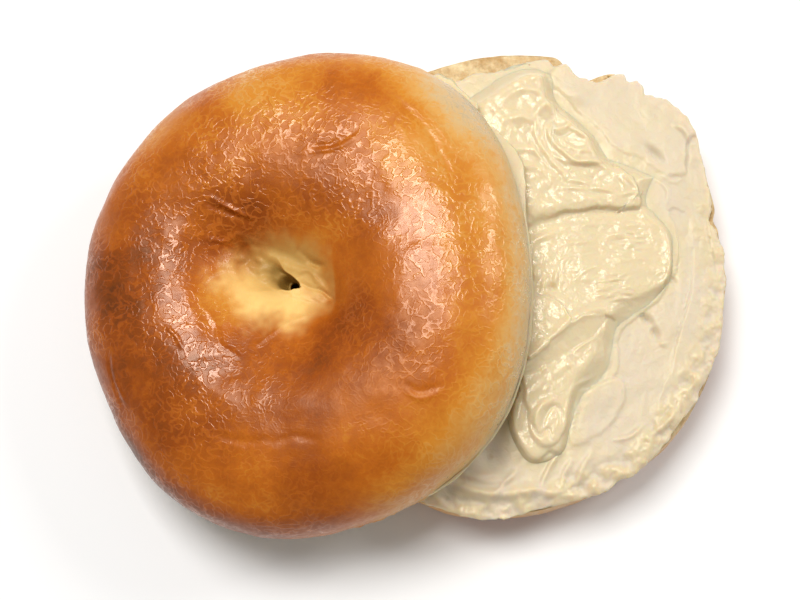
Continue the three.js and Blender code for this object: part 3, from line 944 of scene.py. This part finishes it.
MOUND_BEADS = [
    ([(0, 13.6), (6, 14.6), (12.9, 16.7), (19.3, 17.6), (25.5, 18), (32, 18)], 1.8, 0.35),
    ([(0, 10.4), (6.1, 11.2), (12.9, 13.2), (19.3, 14.2)], 2.2, -0.5),
    ([(19.3, 14.7), (25.5, 15.2), (31.5, 15.3)], 0.6, -0.25),
    ([(33, 18), (32.6, 20.7), (30.9, 23.4), (28.4, 26), (25, 27.6)], 0.6, 0.4),
    ([(3, -24.6), (9.6, -18.2), (15.1, -12.8), (18.8, -10.7), (22, -10.3), (26, -11.2)], 1.4, 1.0),
    ([(38.4, 13), (40.6, 9), (40.9, 4), (40, -0.5), (38.4, -4.4), (34.4, -9)], 0.8, 0.75),
    ([(7.7, 40), (9.8, 42.2), (12.9, 42.6), (16.1, 41), (17.8, 38.4)], 1.0, 0.8),
    (
        [(16.6, 37.9), (14.3, 36.4), (11.9, 36.2), (11.2, 35), (12.1, 33), (14.5, 30.3), (17.5, 27.6)],
        0.6,
        0.8,
    ),
    ([(14.8, 30), (17.5, 27.6), (22.1, 27.6), (26.2, 26)], 0.6, 0.6),
    ([(7.9, 37), (7.9, 34), (9.2, 31.5), (10.8, 29.3), (12.3, 27.2), (15, 23.8)], 0.7, 0.7),
    ([(6.4, 35), (6.8, 32), (8.6, 29), (10.5, 26.6)], 0.5, 0.45),
    ([(16, 37), (19.3, 35.2), (23.2, 33.2), (25.9, 30.2)], 0.6, 0.55),
    ([(14, 33.8), (15.8, 31.8), (19, 30.4), (22, 30.2)], 0.5, 0.45),
    ([(12, 35.2), (14.2, 34.6), (16.5, 35.6)], 0.4, -0.5),
    ([(0, 38.4), (4.4, 39.3), (7.7, 38.1)], 0.8, 0.6),
    ([(-2, 29.8), (1.2, 30.4), (5, 31.4), (8.4, 30.6)], 1.0, 0.7),
    ([(-2, 25.6), (3, 26.4), (8, 26), (11, 24)], 0.9, 0.4),
    ([(0, 44), (4, 46.4), (8.6, 46.2), (11, 43.6)], 0.8, 0.5),
    ([(6.5, 7.4), (9.5, 9), (12.6, 9.9)], 0.8, 0.5),
    ([(13.9, 2.2), (13.6, -1), (13.2, -4)], 0.3, 0.25),
    ([(17, -2), (20.2, 0.4), (22, 1)], 0.4, 0.2),
    ([(12.9, -7.9), (14.4, -10.6), (15.6, -13.2)], 0.3, 0.25),
    ([(10.6, -23.4), (15.2, -20.5), (20.6, -17.0)], 0.35, 0.3),
    ([(6.6, -37.8), (7.1, -35), (8.5, -33.2), (10.8, -32)], 0.9, 0.8),
    ([(7.7, -40.5), (8.5, -37.3), (9.6, -34.8), (11.3, -33.7), (12.7, -35.1), (13, -38)], 0.45, -0.6),
    ([(5.7, -36.4), (5.9, -38.6), (7.6, -40.8), (9.3, -39.2), (10.6, -41.8)], 0.4, -0.7),
    ([(16.4, -28.6), (18.8, -27.4), (21.6, -26.2)], 0.5, 0.6),
    ([(24.3, -13), (24.2, -17), (24, -21), (25, -24)], 0.7, 0.5),
]
MOUND_LUMPS = [
    (34, -8.5, 9, 4.5, 38, -0.9),
    (11.3, -4.2, 0.9, 0.9, 0, -0.9),
    (9.4, -3.4, 0.9, 1.8, -15, 0.6),
    (12.2, -1.6, 0.7, 1.6, -10, 0.5),
    (7.4, -0.8, 1.2, 1.6, 0, 0.5),
    (15.4, 31.0, 1.1, 0.7, 0, 0.45),
    (17.9, 29.4, 1.0, 0.6, 20, 0.5),
    (19.9, 31.0, 1.3, 0.6, 20, 0.45),
    (18.2, 22.6, 2.2, 0.6, -12, 0.4),
    (17.5, 20.9, 3.0, 0.5, -3, 0.35),
    (24.5, 20.6, 2.8, 0.6, -12, 0.4),
    (23, 22.4, 0.6, 1.5, 10, 0.4),
    (29.4, 22.8, 0.6, 1.4, 25, 0.4),
    (30.6, 19.6, 2.0, 0.5, 10, 0.4),
    (5.5, 16.6, 2.2, 1.2, 20, 0.4),
    (8.6, -24.5, 1.0, 0.5, 60, 0.4),
    (10.6, -27.6, 0.5, 1.6, 10, 0.4),
    (9.4, -29.2, 1.2, 0.5, 60, 0.35),
]
MOUND_RIPPLES = [
    (31, 8.6, 5, 7, -2, 1.0, 0.13),
    (26.8, -5.6, 5, 7, 12, 1.0, 0.13),
    (40, 1.5, 1.2, 6, 0, 1.0, 0.12),
    (16.8, -23.4, 6, 3.4, -55, 1.3, 0.1),
    (26, 21.5, 8, 4.6, -8, 1.9, 0.16),
    (18, 31, 6, 4, -20, 2.0, 0.16),
    (5, 36, 8, 8, 70, 2.2, 0.2),
    (5, 20, 6, 6, 10, 2.4, 0.16),
    (8, -16, 3, 3, 40, 1.4, 0.12),
    (10.5, -1, 4, 6, 80, 1.8, 0.14),
]

# The same for the thin smear round the mound.
SMEAR_LAYERS = [
    dict(
        edge=[
            (29, -14), (37, -7.5), (42, 0), (43.4, 8), (41, 16), (46.5, 15), (46.6, 6), (45.6, -4),
            (43.2, -11.6), (40.9, -19.2), (38.6, -27), (34, -38), (24, -46), (12, -50), (14, -40), (20, -31),
            (27.4, -25), (27.6, -17),
        ],
        at=(36, -18), height=2.6, grows=(0, 0), turn=0.4, soft=0.5, streaks=0.05, along=80,
    ),
    dict(
        edge=[
            (12, 53), (16, 46), (20, 41.5), (25, 37), (28.4, 32.4), (34, 30), (39.5, 26), (42, 24.8),
            (45.6, 25.6), (46.2, 29), (46.4, 33.8), (50, 40), (38, 56), (24, 60),
        ],
        at=(34, 38), height=3.4, grows=(0, 0), turn=0.8, soft=1.6, streaks=0.04, along=-40,
    ),
    dict(
        edge=[
            (17.4, -29.5), (20.5, -28.5), (26.8, -26.2), (29, -29), (27, -36), (21, -41), (15.6, -43),
            (15, -37),
        ],
        at=(22, -33), height=3.3, grows=(0, 0.03), turn=1.6, soft=1.4, streaks=0.05, along=70,
    ),
]
SMEAR_BEADS = [
    ([(46.8, 6.3), (45.9, -4), (43.6, -11.6), (41.2, -19.2), (40, -25)], 0.3, -0.45),
    ([(50.5, 14.1), (51.6, 6), (52.6, -1.4)], 0.35, -0.4),
    ([(47, 33.8), (46.8, 30), (46, 25.9)], 0.35, -0.25),
    ([(39.4, 25.2), (42.5, 23.6), (45.4, 24.6)], 0.6, 0.3),
    ([(38.6, 24), (41, 21.4), (40.6, 18)], 0.5, 0.4),
    ([(43.6, 38.4), (45.4, 37), (47.6, 33.6)], 0.8, 0.9),
    ([(-17, -50.5), (-10, -53.5), (-2, -54.6), (6, -54), (12, -54.6)], 1.5, 1.7),
    ([(-12, -49), (-5, -51.5), (1, -51)], 1.0, 0.8),
    ([(-4, -55.4), (-1, -52), (1.5, -49.5)], 0.7, 0.8),
    ([(7.8, -53), (8.7, -50.7), (10.8, -46.8), (13, -44.5)], 0.6, 0.8),
    ([(12.7, -54), (13.4, -50), (15.4, -46.6)], 0.6, 0.6),
    ([(16.4, -54), (17.6, -49), (20, -45)], 0.7, 0.6),
    ([(26, -41.5), (29.5, -40.8), (33, -38)], 0.6, 0.7),
    ([(34, -41), (38.5, -37.5), (42, -33)], 0.9, 0.9),
]
SMEAR_LUMPS = [
    (-4, -45.6, 3.2, 3.8, 15, -1.6),
    (-4.4, -50, 3.4, 1.0, 0, 0.9),
    (34.8, -11.8, 1.5, 1.0, -40, -1.5),
    (36.6, -15, 0.9, 1.7, 20, -1.3),
    (38.4, -17.8, 1.0, 0.7, 0, 0.6),
    (41.4, -1.5, 0.8, 1.5, 10, -0.7),
    (38, 31, 2.8, 1.0, -45, -1.5),
    (19, 46.5, 2.4, 1.6, -30, 0.8),
    (23.5, -36, 4, 3, 30, -0.5),
]


def spread_reach(angle):
    """How far the thin smear reaches in a direction."""
    bare = sum(depth * near(direction, half_width, angle) for direction, half_width, depth in BARE_RIM)
    return rim_radius(angle) * SPREAD_REACH * waves(SPREAD_WAVES, angle) - bare


def spread_height(plan):
    """How high the thin smear stands over the cut face before the knife works it."""
    share = np.linalg.norm(plan, axis=-1) / spread_reach(np.arctan2(plan[..., 1], plan[..., 0]))
    return mix(SMEAR_THICKNESS - 0.4, SPREAD_EDGE_THICKNESS, smooth(share, 0.8, 1))


def mound_reach(angle):
    """How far the mound reaches from its centre."""
    edge = smooth_curve(MOUND_EDGE, closed=True) - MOUND_CENTRE
    turn = np.arctan2(edge[:, 1], edge[:, 0])
    order = np.argsort(turn)
    return np.interp(angle, turn[order], far(edge)[order], period=2 * np.pi)


def lay(plan, height, layers):
    """Lays each layer in turn over what is there."""
    for seed, layer in enumerate(layers):
        inside = depth_inside(plan, layer["edge"]) + 0.4 * layered_noise(plan, 3, 200 + seed)
        along, across = turned(plan, (0, 0), np.radians(layer["along"]))
        across = across + 0.5 * noise(plan, 6, 210 + seed)
        streaks = noise(np.stack([0.12 * along, across], -1), 1.2, 220 + seed)
        top = layer["height"] + (plan - layer["at"]) @ np.array(layer["grows"]) + layer["streaks"] * streaks
        round_over = (1 - inside / layer["turn"]).clip(0, 1)
        top = top - (1 - np.sqrt(1 - round_over**2)) * (top - height).clip(0) * 0.6
        wiped = layer.get("wiped", ())
        soft = layer["soft"] + sum(more * hump(far(plan, (x, y)), radius) for x, y, radius, more in wiped)
        height = mix(height, top, smooth(inside, -0.5 * soft, 0.5 * soft))
    return height


def under_lid(plan):
    """1 under the lid and 0 clear of it, for points from the bottom half's centre."""
    offset = (plan + BASE_CENTRE - LID_CENTRE) / np.array([np.cos(LID_LEAN), 1])
    away = far(offset) - rim_radius(np.arctan2(offset[..., 1], offset[..., 0]))
    return 1 - smooth(away, 0.5, 5)


def press(plan, top):
    """Presses the top of the spread down where the lid lies on it."""
    limit = LID_CENTRE_HEIGHT + (plan[..., 0] + BASE_CENTRE[0] - LID_CENTRE[0]) * np.tan(LID_LEAN)
    limit = limit - LID_SMEAR_THICKNESS * 1.1 - 0.4
    pressed = np.minimum(top, np.maximum(limit, cut_height(plan[..., 0]) + 0.9))
    return mix(top, pressed, under_lid(plan))


def smear_rows():
    """The thin smear's points from under it, round its edge and over its top, with how wet each is."""
    turn = around(720)
    angle = turn - 0.35 * np.sin(turn)
    rim = polar(BAGEL_RADIUS, angle)
    calm = 1 - 0.7 * near(-8, 24, angle)
    fringe = 0.45 * calm * np.abs(layered_noise(rim, 2.6, 142))
    ragged = 0.7 * layered_noise(rim, 11, 141, 4) + fringe + 0.15
    reach = spread_reach(angle) + ragged - notch_depth(angle)
    share, band = bands([mix(0.02, 0.96, steps(10)), mix(1.0, 0.55, steps(92)), mix(0.55, 0.004, steps(24))])
    plan = polar(reach * share, angle)
    height = lay(plan, spread_height(plan), SMEAR_LAYERS)
    height += beads(plan, SMEAR_BEADS) + blobs(plan, SMEAR_LUMPS)
    rim = smooth(share, 0.84, 0.95) * (0.5 + 0.5 * np.cos(angle + np.radians(60))) ** 2
    rough = layered_noise(plan, 3.2, 145)
    height += rim * (0.35 + 0.9 * rough)
    height += 0.14 * layered_noise(plan, 4.5, 147, 4) + 0.25 * noise(plan, 12, 149)
    height = np.maximum(height, SPREAD_THINNEST)
    rounded = np.sqrt((1 - ((share - 1 + SPREAD_LIP).clip(0) / SPREAD_LIP) ** 2).clip(0))
    height = height * mix(SPREAD_LIP_HEIGHT, 1, rounded)
    base = cut_height(plan[..., 0])
    z = np.where(band == 0, base - SPREAD_SUNK, press(plan, base + height))
    beside = smooth(depth_inside(plan, MOUND_EDGE) + noise(plan, 3, 152), -4, 1)
    wetness = 0.12 + 0.12 * layered_noise(plan, 12, 151) + 0.5 * rim * smooth(rough, -0.3, 0.4) + 0.3 * beside
    torn = 1 - smooth(height, 0.5, 1.8)
    return with_height(plan, z), wetness - 0.5 * torn


def mound_rows():
    """The thick mound's points from under it, round its edge and over its top, with how wet each is."""
    angle = around(660)
    wide = sum(more * near(direction, width, angle) for direction, width, more in MOUND_SOFT_EDGES)
    soft = MOUND_EDGE_WIDTH + wide
    wiped = smooth(soft, 1.8, 4)
    reach = mound_reach(angle) + 1.2 * near(95, 70, angle) * layered_noise(polar(30, angle), 7, 159, 4)
    share, band = bands([mix(0.02, 0.96, steps(7)), mix(1.0, 0.004, steps(138, skip=0))])
    plan = polar(reach * share, angle) + MOUND_CENTRE
    height = mix(MOUND_HEIGHT, MOUND_EDGE_HEIGHT, smooth(share, 0.3, 1)) + 0 * angle
    height = lay(plan, height, MOUND_LAYERS)
    height += beads(plan, MOUND_BEADS) + blobs(plan, MOUND_LUMPS) + ripples(plan, MOUND_RIPPLES)
    height += 0.16 * layered_noise(plan, 4, 153, 5) + 0.2 * noise(plan, 10, 155)
    edge = np.minimum(depth_inside(plan, MOUND_EDGE).clip(0), (1 - share) * reach)
    steep = np.sqrt(1 - (1 - edge / soft).clip(0, 1) ** 2)
    foot = lay(plan, spread_height(plan), SMEAR_LAYERS) - mix(1.2, 0.3, wiped)
    height = mix(foot, height, mix(steep, smooth(edge, 0, soft), wiped))
    base = cut_height(plan[..., 0])
    z = np.where(band == 0, base + MOUND_RAISED, press(plan, base + height))
    thin = 1 - smooth(edge, 0, 1.5 * soft)
    return with_height(plan, z), 0.78 - 0.4 * thin + 0.12 * layered_noise(plan, 9, 157)


def torn_rows():
    """A thin band over the rim of the cut face, and how torn the rim is, for crumbs to lie on."""
    angle = around(240)
    share = np.array([0.995, 0.975, 0.95, 0.92])[:, None]
    plan = polar(rim_radius(angle) * share - notch_depth(angle), angle)
    thickness = SPREAD_EDGE_THICKNESS * (1 - smooth(share, 0.95, 0.99))
    torn = 0.15 + near(72, 16, angle) + 0.6 * near(100, 30, angle) + 0.5 * near(50, 8, angle)
    torn = torn * smooth(noise(plan, 3, 171), -0.4, 0.6) * (1 - under_lid(plan))
    return with_height(plan, cut_height(plan[..., 0]) + thickness), torn


def squared(value):
    """Draws a round outline out towards its corners."""
    return np.sign(value) * np.sqrt(np.abs(value))


def lid_smear_rows():
    """The smear on the lid's cut face, in the lid's own frame, with scraps that reach past its edge."""
    turn = around(520)
    edge = waves(LID_SMEAR_WAVES, turn) + 0.012 * layered_noise(polar(30, turn), 3, 161)
    below = np.linspace(0.02, 1, 34)[:, None]
    above = np.array([0.99, 0.8, 0.4, 0.02])[:, None]
    share = np.concatenate([below, above])
    angle = np.radians(LID_SMEAR_DIRECTION + LID_SMEAR_HALF_SPAN * share * squared(np.sin(turn)))
    out = LID_SMEAR_MIDDLE + LID_SMEAR_HALF_REACH * edge * share * squared(np.cos(turn))
    scraps = sum(size * near(place, width, angle) for place, width, size in LID_SCRAPS)
    out = out + scraps * smooth(out, 0.9, 0.99) * (1 + 0.4 * noise(polar(40, angle), 2, 165))
    plan = lid_plan(angle, out)
    thick = LID_SMEAR_THICKNESS * (1 - smooth(below, 0.8, 1.0) * 0.75)
    thick = thick + 0.25 * layered_noise(plan[: len(below)], 4, 163)
    depth = np.concatenate([thick, np.full((len(above), len(turn)), -0.15)])
    return with_height(plan, -0.1 - depth)


# --- what a user would change ---


class CrustLook(bpy.types.PropertyGroup):
    """The finish of the baked crust."""

    patchiness: bpy.props.FloatProperty(
        name="Patchiness", description="How unevenly it browns", default=0.28, min=0, max=1, subtype="FACTOR"
    )
    gloss: bpy.props.FloatProperty(
        name="Gloss", description="How much the skin shines", default=0.16, min=0, max=1, subtype="FACTOR"
    )
    wrinkle_size: bpy.props.FloatProperty(
        name="Wrinkle size", description="Distance between wrinkles", default=0.0026, min=0.001, unit="LENGTH"
    )
    wrinkle_height: bpy.props.FloatProperty(
        name="Wrinkle height", description="Height of the wrinkles", default=0.00022, min=0, unit="LENGTH"
    )
    blister_size: bpy.props.FloatProperty(
        name="Blister size", description="Distance between blisters", default=0.006, min=0.001, unit="LENGTH"
    )
    blister_height: bpy.props.FloatProperty(
        name="Blister height", description="Height of the blisters", default=0.0004, min=0, unit="LENGTH"
    )
    crumb_code: bpy.props.StringProperty(
        name="Crumb colour", description="sRGB hex code of the pale crumb", default="#ecd6a8"
    )


class CheeseLook(bpy.types.PropertyGroup):
    """The finish of the cream cheese."""

    thin_code: bpy.props.StringProperty(
        name="Thin colour", description="sRGB hex code of thinly smeared cream cheese", default="#d8c9b2"
    )
    thick_code: bpy.props.StringProperty(
        name="Thick colour", description="sRGB hex code of thick cream cheese", default="#e0cea8"
    )


class CrumbScatter(bpy.types.PropertyGroup):
    """Crumbs that the knife tore from the rim."""

    density: bpy.props.FloatProperty(
        name="Density", description="Crumbs for each square metre of rim", default=26000, min=0, max=100000
    )
    size: bpy.props.FloatProperty(
        name="Size", description="Width of the largest crumb", default=0.0014, min=0.0002, unit="LENGTH"
    )
    seed: bpy.props.IntProperty(name="Seed", description="Picks one of the random scatters", default=7, min=0)


class StageSetup(bpy.types.PropertyGroup):
    """The camera and the lights."""

    elevation: bpy.props.FloatProperty(
        name="Elevation", description="How far the camera looks down", default=np.radians(78), subtype="ANGLE"
    )
    distance: bpy.props.FloatProperty(
        name="Distance", description="From the camera to the bagel", default=0.372, min=0.1, unit="LENGTH"
    )
    key_energy: bpy.props.FloatProperty(
        name="Key light", description="Strength of the light overhead", default=7.0, min=0, unit="POWER"
    )


# --- the pieces ---


def new_tree(name, **inputs):
    """A geometry nodes tree with named inputs, and the outputs of its input node."""
    tree = bpy.data.node_groups.new(name, "GeometryNodeTree")
    tree.interface.new_socket("Geometry", in_out="INPUT", socket_type="NodeSocketGeometry")
    for key, kind in inputs.items():
        tree.interface.new_socket(key, in_out="INPUT", socket_type=f"NodeSocket{kind}")
    tree.interface.new_socket("Geometry", in_out="OUTPUT", socket_type="NodeSocketGeometry")
    return tree, add(tree, "NodeGroupInput").outputs


def relief_tree(crust, crumb):
    """Geometry nodes that raise fine wrinkles and soft blisters on the crust."""
    names = ("wrinkle_size", "wrinkle_height", "blister_size", "blister_height")
    tree, given = new_tree("crust_relief", **dict.fromkeys(names, "Float"))
    place = add(tree, "GeometryNodeInputPosition")
    normal = add(tree, "GeometryNodeInputNormal")
    wrinkled = add(tree, "GeometryNodeInputNamedAttribute", {"Name": "wrinkled"}, data_type="FLOAT")
    cut = add(tree, "GeometryNodeInputNamedAttribute", {"Name": "cut"}, data_type="FLOAT")
    centred = []
    for size, seed in (("wrinkle_size", 3.7), ("blister_size", 9.1)):
        scale = add(tree, "ShaderNodeMath", {0: 1.0, 1: given[size]}, operation="DIVIDE")
        inputs = {"Vector": place, "W": seed, "Scale": scale, "Detail": 1.0, "Distortion": 0.6}
        texture = add(tree, "ShaderNodeTexNoise", inputs, noise_dimensions="4D")
        centred.append(add(tree, "ShaderNodeMath", {0: texture, 1: 0.5}, operation="SUBTRACT"))
    folded = add(tree, "ShaderNodeMath", {0: centred[0]}, operation="ABSOLUTE")
    fine = add(tree, "ShaderNodeMath", {0: folded, 1: given["wrinkle_height"]}, operation="MULTIPLY")
    inputs = {0: centred[1], 1: given["blister_height"], 2: fine}
    total = add(tree, "ShaderNodeMath", inputs, operation="MULTIPLY_ADD")
    held = add(tree, "ShaderNodeMath", {0: total, 1: wrinkled}, operation="MULTIPLY")
    offset = add(tree, "ShaderNodeVectorMath", {0: normal, "Scale": held}, operation="SCALE")
    moved = add(tree, "GeometryNodeSetPosition", {"Geometry": given["Geometry"], "Offset": offset})
    real = add(tree, "GeometryNodeRealizeInstances", {"Geometry": moved})
    baked = add(tree, "GeometryNodeSetMaterial", {"Geometry": real, "Material": crust})
    is_cut = add(tree, "ShaderNodeMath", {0: cut, 1: 0.75}, operation="GREATER_THAN")
    inputs = {"Geometry": baked, "Selection": is_cut, "Material": crumb}
    sliced = add(tree, "GeometryNodeSetMaterial", inputs)
    add(tree, "NodeGroupOutput", {"Geometry": sliced})
    return tree


def crumb_tree(crumb):
    """Geometry nodes that scatter torn crumbs where the attribute `torn` says."""
    tree, given = new_tree("torn_crumbs", density="Float", size="Float", seed="Int")
    seed = given["seed"]
    torn = add(tree, "GeometryNodeInputNamedAttribute", {"Name": "torn"}, data_type="FLOAT")
    density = add(tree, "ShaderNodeMath", {0: torn, 1: given["density"]}, operation="MULTIPLY")
    inputs = {"Mesh": given["Geometry"], "Density": density, "Seed": seed}
    points = add(tree, "GeometryNodeDistributePointsOnFaces", inputs)
    radius = add(tree, "ShaderNodeMath", {0: given["size"], 1: 0.5}, operation="MULTIPLY")
    bit = add(tree, "GeometryNodeMeshIcoSphere", {"Radius": radius, "Subdivisions": 2})
    inputs = {"Min": (0.25, 0.2, 0.2), "Max": (1.0, 0.7, 0.6), "Seed": seed}
    stretch = add(tree, "FunctionNodeRandomValue", inputs, data_type="FLOAT_VECTOR")
    inputs = {"Min": (0.0, 0.0, 0.0), "Max": (6.28, 6.28, 6.28), "Seed": seed}
    turn = add(tree, "FunctionNodeRandomValue", inputs, data_type="FLOAT_VECTOR")
    inputs = {"Points": points, "Instance": bit, "Rotation": turn, "Scale": stretch}
    bits = add(tree, "GeometryNodeInstanceOnPoints", inputs)
    real = add(tree, "GeometryNodeRealizeInstances", {"Geometry": bits})
    baked = add(tree, "GeometryNodeSetMaterial", {"Geometry": real, "Material": crumb})
    add(tree, "NodeGroupOutput", {"Geometry": baked})
    return tree


def apply_tree(piece, tree, look):
    """Runs geometry nodes on a piece with the inputs that a look holds, and keeps the result as its mesh."""
    modifier = piece.modifiers.new(tree.name, "NODES")
    modifier.node_group = tree
    for item in tree.interface.items_tree:
        if item.in_out == "INPUT" and hasattr(look, item.name):
            modifier[item.identifier] = getattr(look, item.name)
    depsgraph = bpy.context.evaluated_depsgraph_get()
    mesh = bpy.data.meshes.new_from_object(piece.evaluated_get(depsgraph), depsgraph=depsgraph)
    piece.modifiers.remove(modifier)
    old, piece.data = piece.data, mesh
    bpy.data.meshes.remove(old)
    mesh.name = piece.name


def own(piece, node=None):
    """Gives a piece its body, and hides the node that it replaces, if any."""
    if node:
        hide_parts(node)
    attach(piece, "root")


class BAGEL_OT_top_half(bpy.types.Operator):
    """Bakes the top half: a browned dome with a pinched hole, cut flat below"""

    bl_idname = "bagel.top_half"
    bl_label = "Top half"

    def execute(self, context):
        look = context.scene.bagel_crust
        rows, band, angle = lid_rows()
        rows = shape_lid(rows, band)
        plan = rows[..., :2]
        attributes = {
            # Browning, with painted light and shade in some of its patches and rim bands.
            "browning_and_shade": lid_browning(rows, angle),
            "wrinkled": lid_wrinkles(rows) * (band > CUT),
            "glossy": lid_gloss(plan) * (band > WALL),
            "dough": pale_dough(plan) * (band > WALL),
            # Painted shade on the dent's dough, darkest down the slit.
            "dough_shade": moist_dough(plan),
            "cut": (band == CUT) * 1.0,
        }
        crust = shared(boiled_and_baked_crust, look)
        crumb = shared(wheat_crumb, look)
        piece = grid_object("top_half_bread", lean(rows), attributes)
        apply_tree(piece, relief_tree(crust, crumb), look)
        own(piece, "top_half")
        return {"FINISHED"}


class BAGEL_OT_bottom_half(bpy.types.Operator):
    """Bakes the bottom half: a low round of bread with its crumb cut open on top"""

    bl_idname = "bagel.bottom_half"
    bl_label = "Bottom half"

    def execute(self, context):
        look = context.scene.bagel_crust
        rows = shape_base(*base_rows())
        browning_and_shade = 0.62 - 0.3 * smooth(rows[..., 2], 1, 9) + 0.12 * layered_noise(rows, 14, 65)
        values = {"browning_and_shade": browning_and_shade, "wrinkled": 0.3, "glossy": 0, "dough": 0, "dough_shade": 0}
        crust = shared(boiled_and_baked_crust, look)
        crumb = shared(wheat_crumb, look)
        poles = settle(np.array([[0, 0, BASE_DIMPLE_DEPTH], [0, 0, BASE_HEIGHT]]))
        piece = grid_object("bottom_half_bread", settle(rows), values, [crust, crumb], poles)
        for face in piece.data.polygons:
            face.material_index = int(face.normal.z > 0.5 and face.center.z > CRUMB_FROM * MM)
        own(piece, "bottom_half")
        return {"FINISHED"}


class BAGEL_OT_cream_cheese(bpy.types.Operator):
    """Spreads the cream cheese with a knife and smears the lid's cut face"""

    bl_idname = "bagel.cream_cheese"
    bl_label = "Cream cheese"

    def execute(self, context):
        cheese = shared(soft_cream_cheese, context.scene.bagel_cheese)
        for name, make in (("cream_cheese_spread", smear_rows), ("cream_cheese_mound", mound_rows)):
            rows, wetness = make()
            rows = settle(rows)
            piece = grid_object(name, rows, {"wetness": wetness}, [cheese], ends(rows))
            own(piece, "cream_cheese")
        rows = lid_smear_rows()
        poles = lean(ends(rows))
        smear = grid_object("cream_cheese_on_top_half", lean(rows), {"wetness": 0.4}, [cheese], poles)
        own(smear, "cream_cheese_on_lid")
        return {"FINISHED"}


class BAGEL_OT_crumbs(bpy.types.Operator):
    """Scatters the crumbs that the knife tore from the rim"""

    bl_idname = "bagel.crumbs"
    bl_label = "Crumbs"

    def execute(self, context):
        crumb = shared(wheat_crumb, context.scene.bagel_crust)
        rows, torn = torn_rows()
        piece = grid_object("torn_crumbs", settle(rows), {"torn": torn})
        apply_tree(piece, crumb_tree(crumb), context.scene.bagel_crumbs)
        own(piece)
        return {"FINISHED"}


class BAGEL_OT_stage(bpy.types.Operator):
    """Sets a pale floor, soft lights and the camera"""

    bl_idname = "bagel.stage"
    bl_label = "Stage"

    def execute(self, context):
        make_floor()
        make_camera(context.scene, context.scene.bagel_stage)
        make_lights(context.scene, context.scene.bagel_stage)
        return {"FINISHED"}


FLOOR_HALF_WIDTH = 3.0
CAMERA_TARGET = Vector((-1.65, -3.05, 15)) * MM
PIXELS_PER_MM = 3.99  # at the target, in a picture 800 pixels wide
PICTURE_WIDTH = 800
SENSOR_WIDTH = 36
ROOM_LIGHT = 0.3

# The lights: name, direction, distance and size in metres, and strength as a share of the key light's.
LIGHTS = [
    ("key_light", (-0.2, 0.27, 0.94), 0.9, 0.4, 1),
    ("fill_light", (0.7, 0.35, 0.6), 1.2, 0.34, 0.62),
]


def make_floor():
    """A wide white board under the bagel."""
    half = FLOOR_HALF_WIDTH
    mesh = bpy.data.meshes.new("floor")
    corners = [(-half, -half, 0), (half, -half, 0), (half, half, 0), (-half, half, 0)]
    mesh.from_pydata(corners, [], [(0, 1, 2, 3)])
    mesh.materials.append(white_painted_board())
    floor = bpy.data.objects.new("floor", mesh)
    bpy.context.scene.collection.objects.link(floor)


def facing(scene, name, data, direction, distance):
    """A camera or a light that faces the bagel from a direction."""
    away = Vector(direction).normalized()
    holder = bpy.data.objects.new(name, data)
    holder.location = CAMERA_TARGET + away * distance
    holder.rotation_euler = away.to_track_quat("Z", "Y").to_euler()
    scene.collection.objects.link(holder)
    return holder


def make_camera(scene, setup):
    """A camera in front of the bagel that looks steeply down at it."""
    camera = bpy.data.cameras.new("camera")
    camera.sensor_width = SENSOR_WIDTH
    camera.sensor_fit = "HORIZONTAL"
    focal_pixels = PIXELS_PER_MM * setup.distance / MM
    camera.lens = focal_pixels * SENSOR_WIDTH / PICTURE_WIDTH
    camera.clip_start = 0.01
    camera.clip_end = 20
    direction = (0, -np.cos(setup.elevation), np.sin(setup.elevation))
    scene.camera = facing(scene, "camera", camera, direction, setup.distance)


def make_lights(scene, setup):
    """Soft lights overhead and at the right, in a pale room."""
    for name, direction, distance, size, share in LIGHTS:
        lamp = bpy.data.lights.new(name, "AREA")
        lamp.size = size
        lamp.energy = setup.key_energy * share
        facing(scene, name, lamp, direction, distance)
    world = bpy.data.worlds.new("pale_room")
    world.use_nodes = True
    background = world.node_tree.nodes["Background"]
    background.inputs["Color"].default_value = colour("#ffffff")
    background.inputs["Strength"].default_value = ROOM_LIGHT
    scene.world = world
    scene.view_settings.view_transform = "Standard"
    scene.view_settings.look = "None"
    scene.view_settings.exposure = 0
    scene.view_settings.gamma = 1


class BAGEL_PT_sidebar(bpy.types.Panel):
    """Lists the bagel's sizes, finishes and makers"""

    bl_idname = "BAGEL_PT_sidebar"
    bl_label = "Bagel"
    bl_space_type = "VIEW_3D"
    bl_region_type = "UI"
    bl_category = "Bagel"

    def draw(self, context):
        for key, group in GROUPS.items():
            box = self.layout.box()
            box.label(text=group.__doc__)
            for prop in group.__annotations__:
                box.prop(getattr(context.scene, key), prop)
        for operator in OPERATORS:
            self.layout.operator(operator.bl_idname)


GROUPS = {
    "bagel_crust": CrustLook,
    "bagel_cheese": CheeseLook,
    "bagel_crumbs": CrumbScatter,
    "bagel_stage": StageSetup,
}
OPERATORS = [
    BAGEL_OT_stage,
    BAGEL_OT_top_half,
    BAGEL_OT_bottom_half,
    BAGEL_OT_cream_cheese,
    BAGEL_OT_crumbs,
]


def register():
    """Adds the groups, the operators and the panel."""
    for cls in (*GROUPS.values(), *OPERATORS, BAGEL_PT_sidebar):
        bpy.utils.register_class(cls)
    for key, group in GROUPS.items():
        setattr(bpy.types.Scene, key, bpy.props.PointerProperty(type=group))


def unregister():
    """Takes them away again."""
    for key in GROUPS:
        delattr(bpy.types.Scene, key)
    for cls in (BAGEL_PT_sidebar, *reversed(OPERATORS), *GROUPS.values()):
        bpy.utils.unregister_class(cls)


def main():
    """Builds every piece and the stage."""
    register()
    for operator in OPERATORS:
        family, name = operator.bl_idname.split(".")
        getattr(getattr(bpy.ops, family), name)()


if __name__ == "__main__":
    main()
